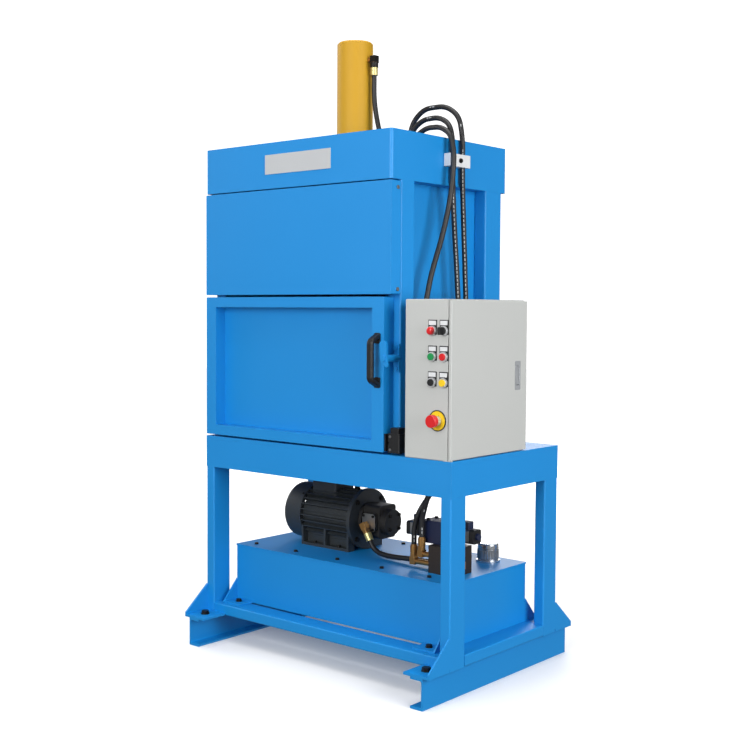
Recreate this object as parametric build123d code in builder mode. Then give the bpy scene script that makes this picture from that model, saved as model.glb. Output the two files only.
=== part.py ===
import os
from math import cos, radians, sin, tan

from build123d import *

os.makedirs("parts", exist_ok=True)

# Stand: two skid channels, four tube legs, a flat base frame and a table
stand_width = 1120
stand_depth = 620
table_height = 755
table_plate_thickness = 12
tube_wall = 4
tube_corner = 5
leg_width = 40
leg_depth = 80
beam_height = 102
beam_width = 40
rail_width = 80
rail_height = 38
skid_height = 100
skid_flange = 48
skid_web = 5
skid_flange_thickness = 8
skid_root = 6
skid_inset = 24
foot_length = 105
foot_width = 100
foot_thickness = 8
foot_hole = 18
gusset_height = 95
gusset_thickness = 6
gusset_nose = 8

# Press body on the table
press_cabinet_gap = 62
press_overhang = 26
press_height = 883
crown_height = 159
crown_wall = 8
crown_corner = 10
crown_floor = 30
column_width = 48
column_front_depth = 70
column_rear_depth = 97
column_rear_distance = 29
column_wall = 5
wall_sheet = 6
front_depth = 50
cover_height = 363
cover_gap = 4
cover_sheet = 3
cover_corner = 4

# Ram: cylinder through the crown, piston rod and platen
barrel_diameter = 130
barrel_bore = 100
barrel_rise = 380
barrel_drop = 53
barrel_edge = 6
barrel_flange_diameter = 200
barrel_flange_thickness = 24
end_cap_thickness = 25
gland_height = 60
gland_lip = 12
piston_height = 50
piston_clearance = 0.1
rod_diameter = 70
rod_clearance = 0.05
platen_side_gap = 14
platen_front_gap = 93
platen_thickness = 25
platen_rest_rise = 19
platen_rib_height = 60
platen_rib_thickness = 16
platen_boss_diameter = 130

# Door: tube frame, sheet panel, handle, weld-on hinges
door_latch_strip = 28
door_left_gap = 1
door_bottom_gap = 7
door_top_gap = 8
door_depth = 49.5
door_stile = 50
door_rail = 36
door_panel_sheet = 4
door_panel_distance = 45
door_corner = 4
hinge_reach = 20
hinge_barrel_radius = 9
hinge_pin_radius = 5
hinge_pin_clearance = 0.05
hinge_knuckle = 40
hinge_gap = 0.3
hinge_leaf = 6
hinge_leaf_length = 70
hinge_corner_distance = 90
handle_height = 177
handle_reach = 45
handle_thickness = 16
handle_width = 24
handle_bend = 18
handle_pad = 34
handle_from_edge = 25
handle_rise = 296

# Latch on the front right column
latch_drop = 205
latch_from_edge = 10
latch_lever_thickness = 8
latch_front_gap = 16
latch_head_radius = 14
latch_head_rise = 43
latch_head_offset = 3
latch_hub_radius = 13
latch_tail_drop = 24
latch_tail_offset = 12
latch_tail_radius = 4
latch_pin_radius = 6
latch_pin_clearance = 0.05
latch_boss_radius = 12
latch_bracket_height = 90
latch_bracket_thickness = 6
latch_pin_head = 4
latch_pin_head_radius = 10
latch_gap = 0.3

# Door interlock at the lower right corner
key_thickness = 5
key_height = 56
key_depth = 40
key_tongue_reach = 12
key_tongue_height = 14
key_tongue_thickness = 3
switch_width = 50
switch_depth = 42
switch_height = 62
switch_head_height = 18
switch_head_width = 36
switch_gap = 5
switch_slot_clearance = 1.5
switch_lift = 7

# Control cabinet on the table
cabinet_width = 180
cabinet_depth = 420
cabinet_height = 500
cabinet_sheet = 3
cabinet_corner = 4
cabinet_lip = 22
cabinet_door_thickness = 10
cabinet_door_gap = 3
cabinet_hinge_inset = 5
cabinet_hinge_pin_radius = 2
cabinet_hinge_pin_clearance = 0.05
cabinet_hinge_pin_length = 14
cabinet_lug_thickness = 3
cabinet_lug_length = 24
cabinet_lug_clearance = 0.3
lock_height = 95
lock_width = 34
lock_from_edge = 54
lock_middle_rise = 252
lock_proud = 2
lock_lever_width = 18
lock_lever_height = 62
lock_lever_clearance = 1
lock_pin_clearance = 0.05
gear_plate_thickness = 3
gear_plate_distance = 40
gear_standoff = 12
contactor_depth = 60
contactor_width = 50
contactor_height = 80
contactor_gap = 16
rail_strip_height = 35
rail_strip_depth = 8
breaker_depth = 55
breaker_width = 72
breaker_height = 85
contactor_count = 4
breaker_count = 3

# Push buttons on the cabinet's front
button_column_from_edge = 29
button_column_pitch = 44
button_row_pitch = 80
button_top_row_drop = 98
button_hole = 22.3
collar_radius = 15
collar_height = 9
collar_bore = 11
collar_tail = 24
collar_tail_radius = 11
collar_floor = 1
control_gap = 0.3
control_clearance = 0.05
button_radius = 10.9
button_proud = 4
button_travel = 4
button_stem_radius = 6
lamp_radius = 13
lamp_proud = 13
lamp_dome = 8
selector_radius = 12.5
selector_base = 6
selector_grip_height = 14
selector_grip_length = 24
selector_grip_width = 9
estop_drop = 376
estop_from_edge = 52
estop_head_radius = 20
estop_head_height = 16
estop_travel = 6
estop_collar_height = 16
estop_dish = 3

# Oil tank on the base frame
tank_end_gap = 70
tank_rear_gap = 75
tank_height = 204
tank_front_distance = 90
tank_side_shift = -6
tank_corner = 6
lid_thickness = 5
lid_overhang = 2
bracket_length = 66
bracket_width = 90
bracket_thickness = 6
bracket_gusset_height = 80
bracket_hole = 14

# Motor and pump on the lid
motor_axis_height = 112
motor_axis_depth = 345
motor_left = 159
fan_cover_length = 87
fan_cover_radius = 104
fan_cover_sheet = 2.5
fan_cover_edge = 14
fan_cover_slot_width = 8
fan_cover_slot_length = 50
fan_cover_slot_count = 12
motor_body_length = 234
motor_body_radius = 86
motor_fin_radius = 103
motor_fin_thickness = 4
motor_fin_count = 30
motor_foot_width = 190
motor_foot_length = 232
motor_foot_thickness = 10
motor_foot_rib = 8
motor_foot_leg = 34
motor_flange_radius = 110
motor_flange_thickness = 16
motor_bore = 62
motor_shaft_radius = 14
motor_shaft_clearance = 0.05
motor_end_shield = 14
motor_rib_shares = (0, 0.5, 1)
terminal_box_length = 118
terminal_box_width = 104
terminal_box_height = 52
terminal_box_corner = 8
terminal_box_offset = 14
terminal_lid_thickness = 8
terminal_lid_overhang = 3
terminal_gland_radius = 12
terminal_gland_length = 20
shaft_end_gap = 2
fan_gap = 6
rotor_radius = 56
fan_radius = 88
fan_hub_radius = 26
fan_width = 34
fan_blade_count = 9
fan_blade_thickness = 4
pump_flange_radius = 62
pump_flange_length = 14
pump_body_width = 92
pump_body_height = 120
pump_body_length = 74
pump_cover_length = 26
pump_corner = 14
pump_port_width = 62
pump_port_height = 66
pump_port_thickness = 12

# Valve stack on the lid
manifold_from_right = 122
manifold_width = 108
manifold_front = 186
manifold_depth = 100
manifold_height = 92
valve_width = 122
valve_depth = 70
valve_height = 76
valve_left_reach = 48
valve_edge = 4
coil_length = 76
coil_width = 46
coil_corner = 8
coil_gap = 2
coil_nut_radius = 11
coil_nut_length = 10
coil_plug_width = 30
coil_plug_height = 24

# Filler breather on the lid
breather_from_right = 183
breather_from_back = 152
breather_flange_radius = 42
breather_flange_thickness = 7
breather_neck_radius = 26
breather_neck_height = 22
breather_cap_radius = 36
breather_cap_height = 58
breather_cap_gap = 0.3
breather_cap_edge = 6

# Hoses, their fittings and the clamp on the crown
hose_diameter = 18
ferrule_radius = 13
ferrule_length = 46
ferrule_step = 2
fitting_hex = 24
fitting_hex_length = 16
elbow_radius = 9
clamp_width = 112
clamp_height = 42
clamp_depth = 26
clamp_bore_clearance = 0.3
clamp_drop = 53
clamp_shift = 10
clamp_hole_out = 14
clamp_hole_pitch = 56
table_slot_distance = 22

overrun = 1

# Places worked out from the sizes above
left = -(stand_width - hinge_reach) / 2
right = left + stand_width
stand_middle = (left + right) / 2
front = -stand_depth / 2
back = stand_depth / 2
skid_length = stand_depth + 2 * foot_length
rail_top = skid_height + rail_height
beam_bottom = table_height - table_plate_thickness - beam_height
press_width = stand_width - press_cabinet_gap - cabinet_width - lock_proud
press_depth = stand_depth + press_overhang
crown_bottom = table_height + press_height
cover_bottom = crown_bottom - cover_gap - cover_height
press_right = left + press_width
press_middle = left + press_width / 2
press_back = front + press_depth
press_center_y = front + press_depth / 2
crown_top = crown_bottom + crown_height
crown_floor_top = crown_bottom + crown_floor
column_front = front + front_depth
column_front_back = column_front + column_front_depth
column_rear_back = press_back - column_rear_distance
column_rear_front = column_rear_back - column_rear_depth
chamber_left = left + column_width + wall_sheet
chamber_right = press_right - column_width - wall_sheet
barrel_top = crown_top + barrel_rise
platen_width = chamber_right - chamber_left - 2 * platen_side_gap
platen_depth = press_depth - 2 * platen_front_gap
platen_rest_height = cover_bottom + platen_rest_rise
door_width = press_width - door_left_gap - door_latch_strip
door_bottom = table_height + door_bottom_gap
door_top = cover_bottom - door_top_gap
handle_middle = door_bottom + handle_rise
latch_pivot_height = cover_bottom - latch_drop
tank_width = stand_width - 2 * tank_end_gap
tank_depth = stand_depth - tank_front_distance - tank_rear_gap
tank_left = stand_middle + tank_side_shift - tank_width / 2
tank_right = tank_left + tank_width
tank_front = front + tank_front_distance
tank_back = tank_front + tank_depth
tank_top = rail_top + tank_height
lid_top = tank_top + lid_thickness
motor_y = front + motor_axis_depth
motor_z = lid_top + motor_axis_height
body_left = left + motor_left + fan_cover_length
body_right = body_left + motor_body_length
flange_right = body_right + motor_flange_thickness
pump_left = flange_right + pump_flange_length
pump_right = pump_left + pump_body_length
pump_front = motor_y - pump_body_width / 2
block_right = right - manifold_from_right
block_left = block_right - manifold_width
block_front = front + manifold_front
block_back = block_front + manifold_depth
block_top = lid_top + manifold_height
mirror_stand = Plane.YZ.offset(stand_middle)
mirror_press = Plane.YZ.offset(press_middle)


def write(part, name):
    """Labels a finished piece and writes its file."""
    part.label = name
    export_step(part, f"parts/{name}.step")


def slab(x_low, x_high, y_low, y_high, z_low, z_high, corner=0, mode=Mode.ADD):
    """Extrudes a rectangle seen from above, with rounded upright corners if asked."""
    with BuildSketch(Plane.XY.offset(z_low)) as profile:
        with Locations(((x_low + x_high) / 2, (y_low + y_high) / 2)):
            if corner:
                RectangleRounded(x_high - x_low, y_high - y_low, corner)
            else:
                Rectangle(x_high - x_low, y_high - y_low)
    extrude(profile.sketch, amount=z_high - z_low, mode=mode)


def front_slab(x_low, x_high, z_low, z_high, y_low, y_high, corner=0, mode=Mode.ADD):
    """Extrudes a rectangle seen from the front from y_low back to y_high."""
    with BuildSketch(Plane.XZ.offset(-y_low)) as profile:
        with Locations(((x_low + x_high) / 2, (z_low + z_high) / 2)):
            if corner:
                RectangleRounded(x_high - x_low, z_high - z_low, corner)
            else:
                Rectangle(x_high - x_low, z_high - z_low)
    extrude(profile.sketch, amount=y_low - y_high, mode=mode)


def side_slab(y_low, y_high, z_low, z_high, x_low, x_high, corner=0, mode=Mode.ADD):
    """Extrudes a rectangle seen from the right side from x_low to x_high."""
    with BuildSketch(Plane.YZ.offset(x_low)) as profile:
        with Locations(((y_low + y_high) / 2, (z_low + z_high) / 2)):
            if corner:
                RectangleRounded(y_high - y_low, z_high - z_low, corner)
            else:
                Rectangle(y_high - y_low, z_high - z_low)
    extrude(profile.sketch, amount=x_high - x_low, mode=mode)


def disc(plane, radius, length, bore=0, mode=Mode.ADD):
    """Extrudes a round section, or a ring with a bore, along the plane's normal."""
    with BuildSketch(plane) as profile:
        Circle(radius)
        if bore:
            Circle(bore, mode=Mode.SUBTRACT)
    extrude(profile.sketch, amount=length, mode=mode)


def gusset(x_low, y_tip, y_root, z_base, height, thickness, nose):
    """Adds an upright triangular plate that runs from its tip back to its root."""
    with BuildSketch(Plane.YZ.offset(x_low)) as profile:
        with BuildLine():
            Polyline(
                (y_tip, z_base),
                (y_root, z_base),
                (y_root, z_base + height),
                (y_root - nose if y_root > y_tip else y_root + nose, z_base + height),
                (y_tip, z_base + nose),
                close=True,
            )
        make_face()
    extrude(profile.sketch, amount=thickness)


# Skids: channels with the web outside and the flanges turned in
with BuildPart() as skid_left:
    with BuildSketch(Plane.XZ):
        with Locations((left + skid_inset + skid_flange / 2, skid_height / 2)):
            Rectangle(skid_flange, skid_height)
        with Locations((left + skid_inset + skid_web + skid_flange / 2, skid_height / 2)):
            RectangleRounded(
                skid_flange, skid_height - 2 * skid_flange_thickness, skid_root, mode=Mode.SUBTRACT
            )
        with Locations((left + skid_inset + skid_flange, skid_height / 2)):
            Rectangle(2 * skid_root, skid_height - 2 * skid_flange_thickness, mode=Mode.SUBTRACT)
    extrude(amount=skid_length / 2, both=True)
    foot_hole_x = left + foot_width / 2
    for end in (-1, 1):
        hole_y = end * (stand_depth / 2 + foot_length / 2)
        with Locations((foot_hole_x, hole_y, skid_height)):
            Hole(foot_hole / 2, depth=2 * skid_flange_thickness)
write(skid_left.part, "skid_left")
with BuildPart() as skid_right:
    mirror(skid_left.part, about=mirror_stand)
write(skid_right.part, "skid_right")

# Legs: tubes with a foot plate and a gusset in front
with BuildPart() as leg_front_left:
    with BuildSketch(Plane.XY.offset(skid_height)):
        with Locations((left + leg_width / 2, front + leg_depth / 2)):
            RectangleRounded(leg_width, leg_depth, tube_corner)
            Rectangle(leg_width - 2 * tube_wall, leg_depth - 2 * tube_wall, mode=Mode.SUBTRACT)
    extrude(amount=beam_bottom - skid_height)
    foot_low = front - foot_length
    foot_top = skid_height + foot_thickness
    slab(left, left + foot_width, foot_low, front, skid_height, foot_top)
    gusset(left, foot_low, front + tube_corner, foot_top, gusset_height, gusset_thickness, gusset_nose)
    with Locations((left + foot_width / 2, front - foot_length / 2, foot_top)):
        Hole(foot_hole / 2, depth=2 * foot_thickness)
write(leg_front_left.part, "leg_front_left")
with BuildPart() as leg_front_right:
    mirror(leg_front_left.part, about=mirror_stand)
write(leg_front_right.part, "leg_front_right")
with BuildPart() as leg_rear_left:
    mirror(leg_front_left.part, about=Plane.XZ)
write(leg_rear_left.part, "leg_rear_left")
with BuildPart() as leg_rear_right:
    mirror(leg_front_right.part, about=Plane.XZ)
write(leg_rear_right.part, "leg_rear_right")

# Base rails: flat tubes between the legs, two across and two along the skids
with BuildPart() as base_rails_cross:
    for end in (-1, 1):
        with BuildSketch(Plane.YZ.offset(left + leg_width)):
            with Locations((end * (stand_depth - rail_width) / 2, skid_height + rail_height / 2)):
                RectangleRounded(rail_width, rail_height, tube_corner)
                Rectangle(rail_width - 2 * tube_wall, rail_height - 2 * tube_wall, mode=Mode.SUBTRACT)
        extrude(amount=stand_width - 2 * leg_width)
write(base_rails_cross.part, "base_rails_cross")
with BuildPart() as base_rails_side:
    for side_x in (left + rail_width / 2, right - rail_width / 2):
        with BuildSketch(Plane.XZ):
            with Locations((side_x, skid_height + rail_height / 2)):
                RectangleRounded(rail_width, rail_height, tube_corner)
                Rectangle(rail_width - 2 * tube_wall, rail_height - 2 * tube_wall, mode=Mode.SUBTRACT)
        extrude(amount=stand_depth / 2 - rail_width, both=True)
write(base_rails_side.part, "base_rails_side")


def mitred_beam(length, z_low, height):
    """Extrudes a table beam with ends cut at 45 degrees, seen from above, hollow inside."""
    with BuildSketch(Plane.XY.offset(z_low)) as profile:
        with BuildLine():
            Polyline(
                (-length / 2, 0),
                (length / 2, 0),
                (length / 2 - beam_width, beam_width),
                (-length / 2 + beam_width, beam_width),
                close=True,
            )
        make_face()
    extrude(profile.sketch, amount=height)
    slab(
        -length / 2 + beam_width,
        length / 2 - beam_width,
        tube_wall,
        beam_width - tube_wall,
        z_low + tube_wall,
        z_low + height - tube_wall,
        mode=Mode.SUBTRACT,
    )


# Table: mitred beams under a flat plate with a slot for the hoses
with BuildPart() as front_beam:
    mitred_beam(stand_width, beam_bottom, beam_height)
with BuildPart() as side_beam:
    mitred_beam(stand_depth, beam_bottom, beam_height)
with BuildPart() as table_beams_long:
    add(front_beam.part.moved(Location((stand_middle, front, 0))))
    add(front_beam.part.moved(Location((stand_middle, back, 0), (0, 0, 180))))
write(table_beams_long.part, "table_beams_long")
with BuildPart() as table_beams_side:
    add(side_beam.part.moved(Location((left, 0, 0), (0, 0, -90))))
    add(side_beam.part.moved(Location((right, 0, 0), (0, 0, 90))))
write(table_beams_side.part, "table_beams_side")


# Hose routes, from the end at the ram to the end at the power unit
def beside_cylinder(*offsets):
    """Places a hose's points by their distances from the ram's axis and the crown's floor."""
    return [(press_middle + x, press_center_y + y, crown_floor_top + z) for x, y, z in offsets]


def over_crown(*offsets):
    """Places points above the crown's floor, with x as a share of half the press's width."""
    return [
        (press_middle + x_share * press_width / 2, press_center_y + y, crown_floor_top + z)
        for x_share, y, z in offsets
    ]


def beside_press(*offsets):
    """Places points on the press's right, with z as a share of its height above the table."""
    return [
        (press_right + x, press_center_y + y, table_height + z_share * press_height)
        for x, y, z_share in offsets
    ]


def under_table(*offsets):
    """Places points above the lid, with z as a share of the room up to the table's top."""
    return [
        (block_left + x, block_front + y, lid_top + z_share * (table_height - lid_top))
        for x, y, z_share in offsets
    ]


def at_manifold(*offsets):
    """Places points by their distances from the manifold's left front corner on the lid."""
    return [(block_left + x, block_front + y, lid_top + z) for x, y, z in offsets]


def at_pump(*offsets):
    """Places points by their distances from the end of the pump's body and the lid."""
    return [(pump_right + x, pump_front + y, lid_top + z) for x, y, z in offsets]


hose_routes = {
    "cylinder_hose": [
        [
            *beside_cylinder(
                (90, 0, 384), (90, 0, 300), (106, -2, 222), (136, -9, 144), (152, -11, 94),
                (152, -11, 46),
            ),
        ],
    ],
    "feed_hoses": [
        [
            *over_crown(
                (0.4726, 49, 46), (0.4726, 49, 122), (0.5114, 49, 208), (0.6347, 47, 252),
            ),
            *beside_press(
                (-64, 45, 1.3194), (-4, 41, 1.2741), (14, 38, 1.1835), (14, 38, 1.0249),
                (15, 47, 0.8437), (14, 59, 0.6625), (17, 65, 0.4813), (21, 57, 0.3228),
                (26, 35, 0.1642), (30, 3, 0.0283),
            ),
            *under_table(
                (10, 94, 0.8407), (-14, 46, 0.6691), (-54, 16, 0.473), (-72, 16, 0.3407),
            ),
            *at_manifold(
                (-72, 16, 84),
            ),
        ],
        [
            *over_crown(
                (0.5297, 19, 46), (0.5297, 19, 112), (0.5799, 17, 180), (0.6895, 13, 208),
            ),
            *beside_press(
                (-60, 3, 1.2695), (-4, -11, 1.2356), (14, -18, 1.1676), (14, -18, 1.0249),
                (15, -7, 0.8437), (15, 11, 0.6625), (17, 21, 0.4926), (20, 13, 0.3341),
                (24, -13, 0.1755), (26, -55, 0.0396),
            ),
            *under_table(
                (10, 44, 0.8652), (-10, 4, 0.5956), (-36, 12, 0.424),
            ),
            *at_manifold(
                (-36, 12, 114),
            ),
        ],
        [
            *over_crown(
                (0.5982, -5, 46), (0.5982, -5, 100), (0.6484, -7, 150), (0.7626, -11, 174),
            ),
            *beside_press(
                (-26, -33, 1.2242), (24, -43, 1.1903), (42, -47, 1.1133), (38, -55, 0.9683),
                (26, -85, 0.8097), (18, -137, 0.6625), (16, -171, 0.5153), (20, -177, 0.3567),
                (26, -161, 0.1982), (34, -125, 0.051),
            ),
            *under_table(
                (36, 28, 0.8652), (80, 22, 0.674), (126, 14, 0.4853),
            ),
            *at_manifold(
                (126, 14, 96),
            ),
        ],
    ],
    "pump_hose": [
        [
            *at_pump(
                (-14, -34, 53.2), (0, -34, 29), (28, -36, 15), (76, -44, 12),
            ),
            *at_manifold(
                (-170, 63, 15), (-110, 64, 19), (-46, 64, 19),
            ),
        ],
    ],
}


def route_radii(points):
    """Gives each corner of a route the largest arc that its two runs leave room for."""
    arc_run_share = 0.45
    runs = [Vector(*after) - Vector(*before) for before, after in zip(points, points[1:])]
    radii = []
    for before, after in zip(runs, runs[1:]):
        turn = radians(before.get_angle(after))
        radii.append(arc_run_share * min(before.length, after.length) / tan(turn / 2))
    return radii


for name, routes in hose_routes.items():
    with BuildPart() as hose:
        for points in routes:
            radii = route_radii(points)
            with BuildLine() as path:
                FilletPolyline(*points, radius=radii)
            with BuildSketch(Plane(origin=path.line @ 0, z_dir=path.line % 0)):
                Circle(hose_diameter / 2)
            sweep(path=path.line)
    write(hose.part, name)

# Table plate: one slot lets the feed hoses through
slot_points = [
    point
    for route in hose_routes["feed_hoses"]
    for point in route
    if beam_bottom < point[2] < 2 * table_height - beam_bottom
]
slot_low_y = min(point[1] for point in slot_points) - table_slot_distance
slot_high_y = max(point[1] for point in slot_points) + table_slot_distance
slot_low_x = min(point[0] for point in slot_points) - table_slot_distance
slot_high_x = max(point[0] for point in slot_points) + table_slot_distance
with BuildPart() as table_plate:
    slab(left, right, front, back, table_height - table_plate_thickness, table_height)
    slab(
        slot_low_x, slot_high_x, slot_low_y, slot_high_y,
        table_height - table_plate_thickness - overrun, table_height + overrun,
        corner=table_slot_distance, mode=Mode.SUBTRACT,
    )
write(table_plate.part, "table_plate")


def column(y_low, y_high):
    """Extrudes one left-hand column tube between the table and the crown."""
    with BuildSketch(Plane.XY.offset(table_height)) as profile:
        with Locations((left + column_width / 2, (y_low + y_high) / 2)):
            RectangleRounded(column_width, y_high - y_low, tube_corner)
            Rectangle(column_width - 2 * column_wall, y_high - y_low - 2 * column_wall, mode=Mode.SUBTRACT)
    extrude(profile.sketch, amount=crown_bottom - table_height)


with BuildPart() as column_front_left:
    column(column_front, column_front_back)
write(column_front_left.part, "column_front_left")
with BuildPart() as column_front_right:
    mirror(column_front_left.part, about=mirror_press)
write(column_front_right.part, "column_front_right")
with BuildPart() as column_rear_left:
    column(column_rear_front, column_rear_back)
write(column_rear_left.part, "column_rear_left")
with BuildPart() as column_rear_right:
    mirror(column_rear_left.part, about=mirror_press)
write(column_rear_right.part, "column_rear_right")

# Chamber walls: sheets on the columns' inner faces and across the back
with BuildPart() as side_walls:
    slab(
        left + column_width, chamber_left, column_front, column_rear_back,
        table_height, crown_bottom,
    )
    slab(
        chamber_right, press_right - column_width, column_front, column_rear_back,
        table_height, crown_bottom,
    )
write(side_walls.part, "side_walls")
with BuildPart() as back_wall:
    slab(
        chamber_left, chamber_right, column_rear_back - wall_sheet, column_rear_back,
        table_height, crown_bottom,
    )
write(back_wall.part, "back_wall")

# Crown: an open collar with a thick floor that carries the cylinder
with BuildPart() as crown:
    slab(left, press_right, front, press_back, crown_bottom, crown_top, corner=crown_corner)
    slab(
        left + crown_wall, press_right - crown_wall, front + crown_wall, press_back - crown_wall,
        crown_floor_top, crown_top + overrun, mode=Mode.SUBTRACT,
    )
    with Locations((press_middle, press_center_y, crown_floor_top)):
        Hole(barrel_diameter / 2, depth=2 * crown_floor)
write(crown.part, "crown")

# Upper cover: a folded pan in front of the columns
with BuildPart() as upper_cover:
    front_slab(left, press_right, cover_bottom, crown_bottom - cover_gap, front, column_front)
    outer_edges = upper_cover.edges().filter_by(Axis.Y)
    fillet(outer_edges, cover_corner)
    front_slab(
        left + cover_sheet, press_right - cover_sheet,
        cover_bottom + cover_sheet, crown_bottom - cover_gap - cover_sheet,
        front + cover_sheet, column_front + overrun, mode=Mode.SUBTRACT,
    )
write(upper_cover.part, "upper_cover")

# Ram: barrel with its flange and end cap, turned in one profile
barrel_bottom = crown_bottom - barrel_drop
ram_plane = Plane(origin=(press_middle, press_center_y, 0), x_dir=(1, 0, 0), z_dir=(0, -1, 0))
ram_side_plane = Plane(origin=(press_middle, press_center_y, 0), x_dir=(0, 1, 0), z_dir=(1, 0, 0))
ram_axis = Axis((press_middle, press_center_y, 0), (0, 0, 1))
with BuildPart() as cylinder_barrel:
    with BuildSketch(ram_plane):
        with BuildLine():
            Polyline(
                (barrel_bore / 2, barrel_bottom),
                (barrel_diameter / 2, barrel_bottom),
                (barrel_diameter / 2, crown_floor_top),
                (barrel_flange_diameter / 2, crown_floor_top),
                (barrel_flange_diameter / 2, crown_floor_top + barrel_flange_thickness),
                (barrel_diameter / 2, crown_floor_top + barrel_flange_thickness),
                (barrel_diameter / 2, barrel_top - barrel_edge),
                (barrel_diameter / 2 - barrel_edge, barrel_top),
                (0, barrel_top),
                (0, barrel_top - end_cap_thickness),
                (barrel_bore / 2, barrel_top - end_cap_thickness),
                close=True,
            )
        make_face()
    revolve(axis=ram_axis)
write(cylinder_barrel.part, "cylinder_barrel")

with BuildPart() as cylinder_gland:
    gland_plane = Plane((press_middle, press_center_y, barrel_bottom))
    disc(gland_plane, barrel_bore / 2, gland_height, bore=rod_diameter / 2 + rod_clearance)
    disc(
        gland_plane.offset(-gland_lip), barrel_diameter / 2, gland_lip,
        bore=rod_diameter / 2 + rod_clearance,
    )
write(cylinder_gland.part, "cylinder_gland")

piston_top = barrel_top - end_cap_thickness - piston_clearance
platen_top = platen_rest_height + platen_thickness
boss_top = platen_top + platen_rib_height
with BuildPart() as piston_rod:
    disc(
        Plane((press_middle, press_center_y, piston_top - piston_height)),
        barrel_bore / 2 - piston_clearance, piston_height,
    )
    disc(Plane((press_middle, press_center_y, boss_top)), rod_diameter / 2, piston_top - boss_top)
write(piston_rod.part, "piston_rod")

platen_low_y = press_center_y - platen_depth / 2
platen_high_y = press_center_y + platen_depth / 2
with BuildPart() as platen:
    slab(
        press_middle - platen_width / 2, press_middle + platen_width / 2, platen_low_y, platen_high_y,
        platen_rest_height, platen_top, corner=tube_corner,
    )
    disc(Plane((press_middle, press_center_y, platen_top)), platen_boss_diameter / 2, platen_rib_height)
    for rib_plane, reach in ((ram_plane, platen_width / 2), (ram_side_plane, platen_depth / 2)):
        with BuildSketch(rib_plane):
            with BuildLine():
                Polyline(
                    (-reach, platen_top),
                    (reach, platen_top),
                    (platen_boss_diameter / 2, boss_top),
                    (-platen_boss_diameter / 2, boss_top),
                    close=True,
                )
            make_face()
        extrude(amount=platen_rib_thickness / 2, both=True)
write(platen.part, "platen")


def front_plane(x, y, z):
    """Returns an upright plane at a point whose normal points forward, out of the front."""
    return Plane((x, y, z), x_dir=(1, 0, 0), z_dir=(0, -1, 0))


# Door: tube frame around a set-back sheet
door_left = left + door_left_gap
door_right = door_left + door_width
door_back = front + door_depth
with BuildPart() as door_frame:
    front_slab(door_left, door_right, door_bottom, door_top, front, door_back)
    fillet(door_frame.edges().filter_by(Axis.Y), door_corner)
    front_slab(
        door_left + door_stile, door_right - door_stile, door_bottom + door_rail, door_top - door_rail,
        front - overrun, door_back + overrun, mode=Mode.SUBTRACT,
    )
write(door_frame.part, "door_frame")
with BuildPart() as door_panel:
    front_slab(
        door_left + door_stile, door_right - door_stile, door_bottom + door_rail, door_top - door_rail,
        front + door_panel_distance, front + door_panel_distance + door_panel_sheet,
    )
write(door_panel.part, "door_panel")

# Handle: a bow swept from one foot to the other
handle_x = door_right - handle_from_edge
handle_low = handle_middle - handle_height / 2 + handle_thickness / 2
handle_high = handle_middle + handle_height / 2 - handle_thickness / 2
handle_pad_shift = (handle_pad - handle_thickness) / 2
handle_grip_y = front - handle_reach + handle_thickness / 2
with BuildPart() as door_handle:
    with BuildLine() as bow:
        FilletPolyline(
            (handle_x, front, handle_low),
            (handle_x, handle_grip_y, handle_low + handle_bend),
            (handle_x, handle_grip_y, handle_high - handle_bend),
            (handle_x, front, handle_high),
            radius=handle_bend,
        )
    with BuildSketch(front_plane(handle_x, front, handle_low)):
        RectangleRounded(handle_width, handle_thickness, handle_thickness / 3)
    sweep(path=bow.line)
    front_slab(
        door_right - 2 * handle_from_edge, door_right, handle_low - handle_pad, handle_high + handle_pad,
        front, door_back, mode=Mode.SUBTRACT,
    )
    for foot_z in (handle_low + handle_pad_shift, handle_high - handle_pad_shift):
        with BuildSketch(front_plane(handle_x, front, foot_z)):
            RectangleRounded(handle_width, handle_pad, handle_thickness / 3)
        extrude(amount=handle_thickness / 3)
write(door_handle.part, "door_handle")

# Weld-on hinges at the door's left edge
hinge_x = left - (hinge_reach - hinge_barrel_radius)
hinge_y = front + door_depth / 2
hinge_heights = (door_bottom + hinge_corner_distance, door_top - hinge_corner_distance)
with BuildPart() as door_hinge_brackets:
    for height in hinge_heights:
        base = Plane((hinge_x, hinge_y, height - hinge_knuckle))
        disc(base, hinge_barrel_radius, hinge_knuckle)
        disc(base, hinge_pin_radius, 2 * hinge_knuckle)
        slab(left - hinge_leaf, left, hinge_y, hinge_y + hinge_leaf_length, height - hinge_knuckle, height)
write(door_hinge_brackets.part, "door_hinge_brackets")
with BuildPart() as door_hinge_knuckles:
    for height in hinge_heights:
        disc(
            Plane((hinge_x, hinge_y, height + hinge_gap)),
            hinge_barrel_radius, hinge_knuckle, bore=hinge_pin_radius + hinge_pin_clearance,
        )
        slab(
            door_left - hinge_leaf, door_left, front + hinge_leaf, hinge_y,
            height + hinge_gap, height + hinge_gap + hinge_knuckle,
        )
write(door_hinge_knuckles.part, "door_hinge_knuckles")

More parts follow.
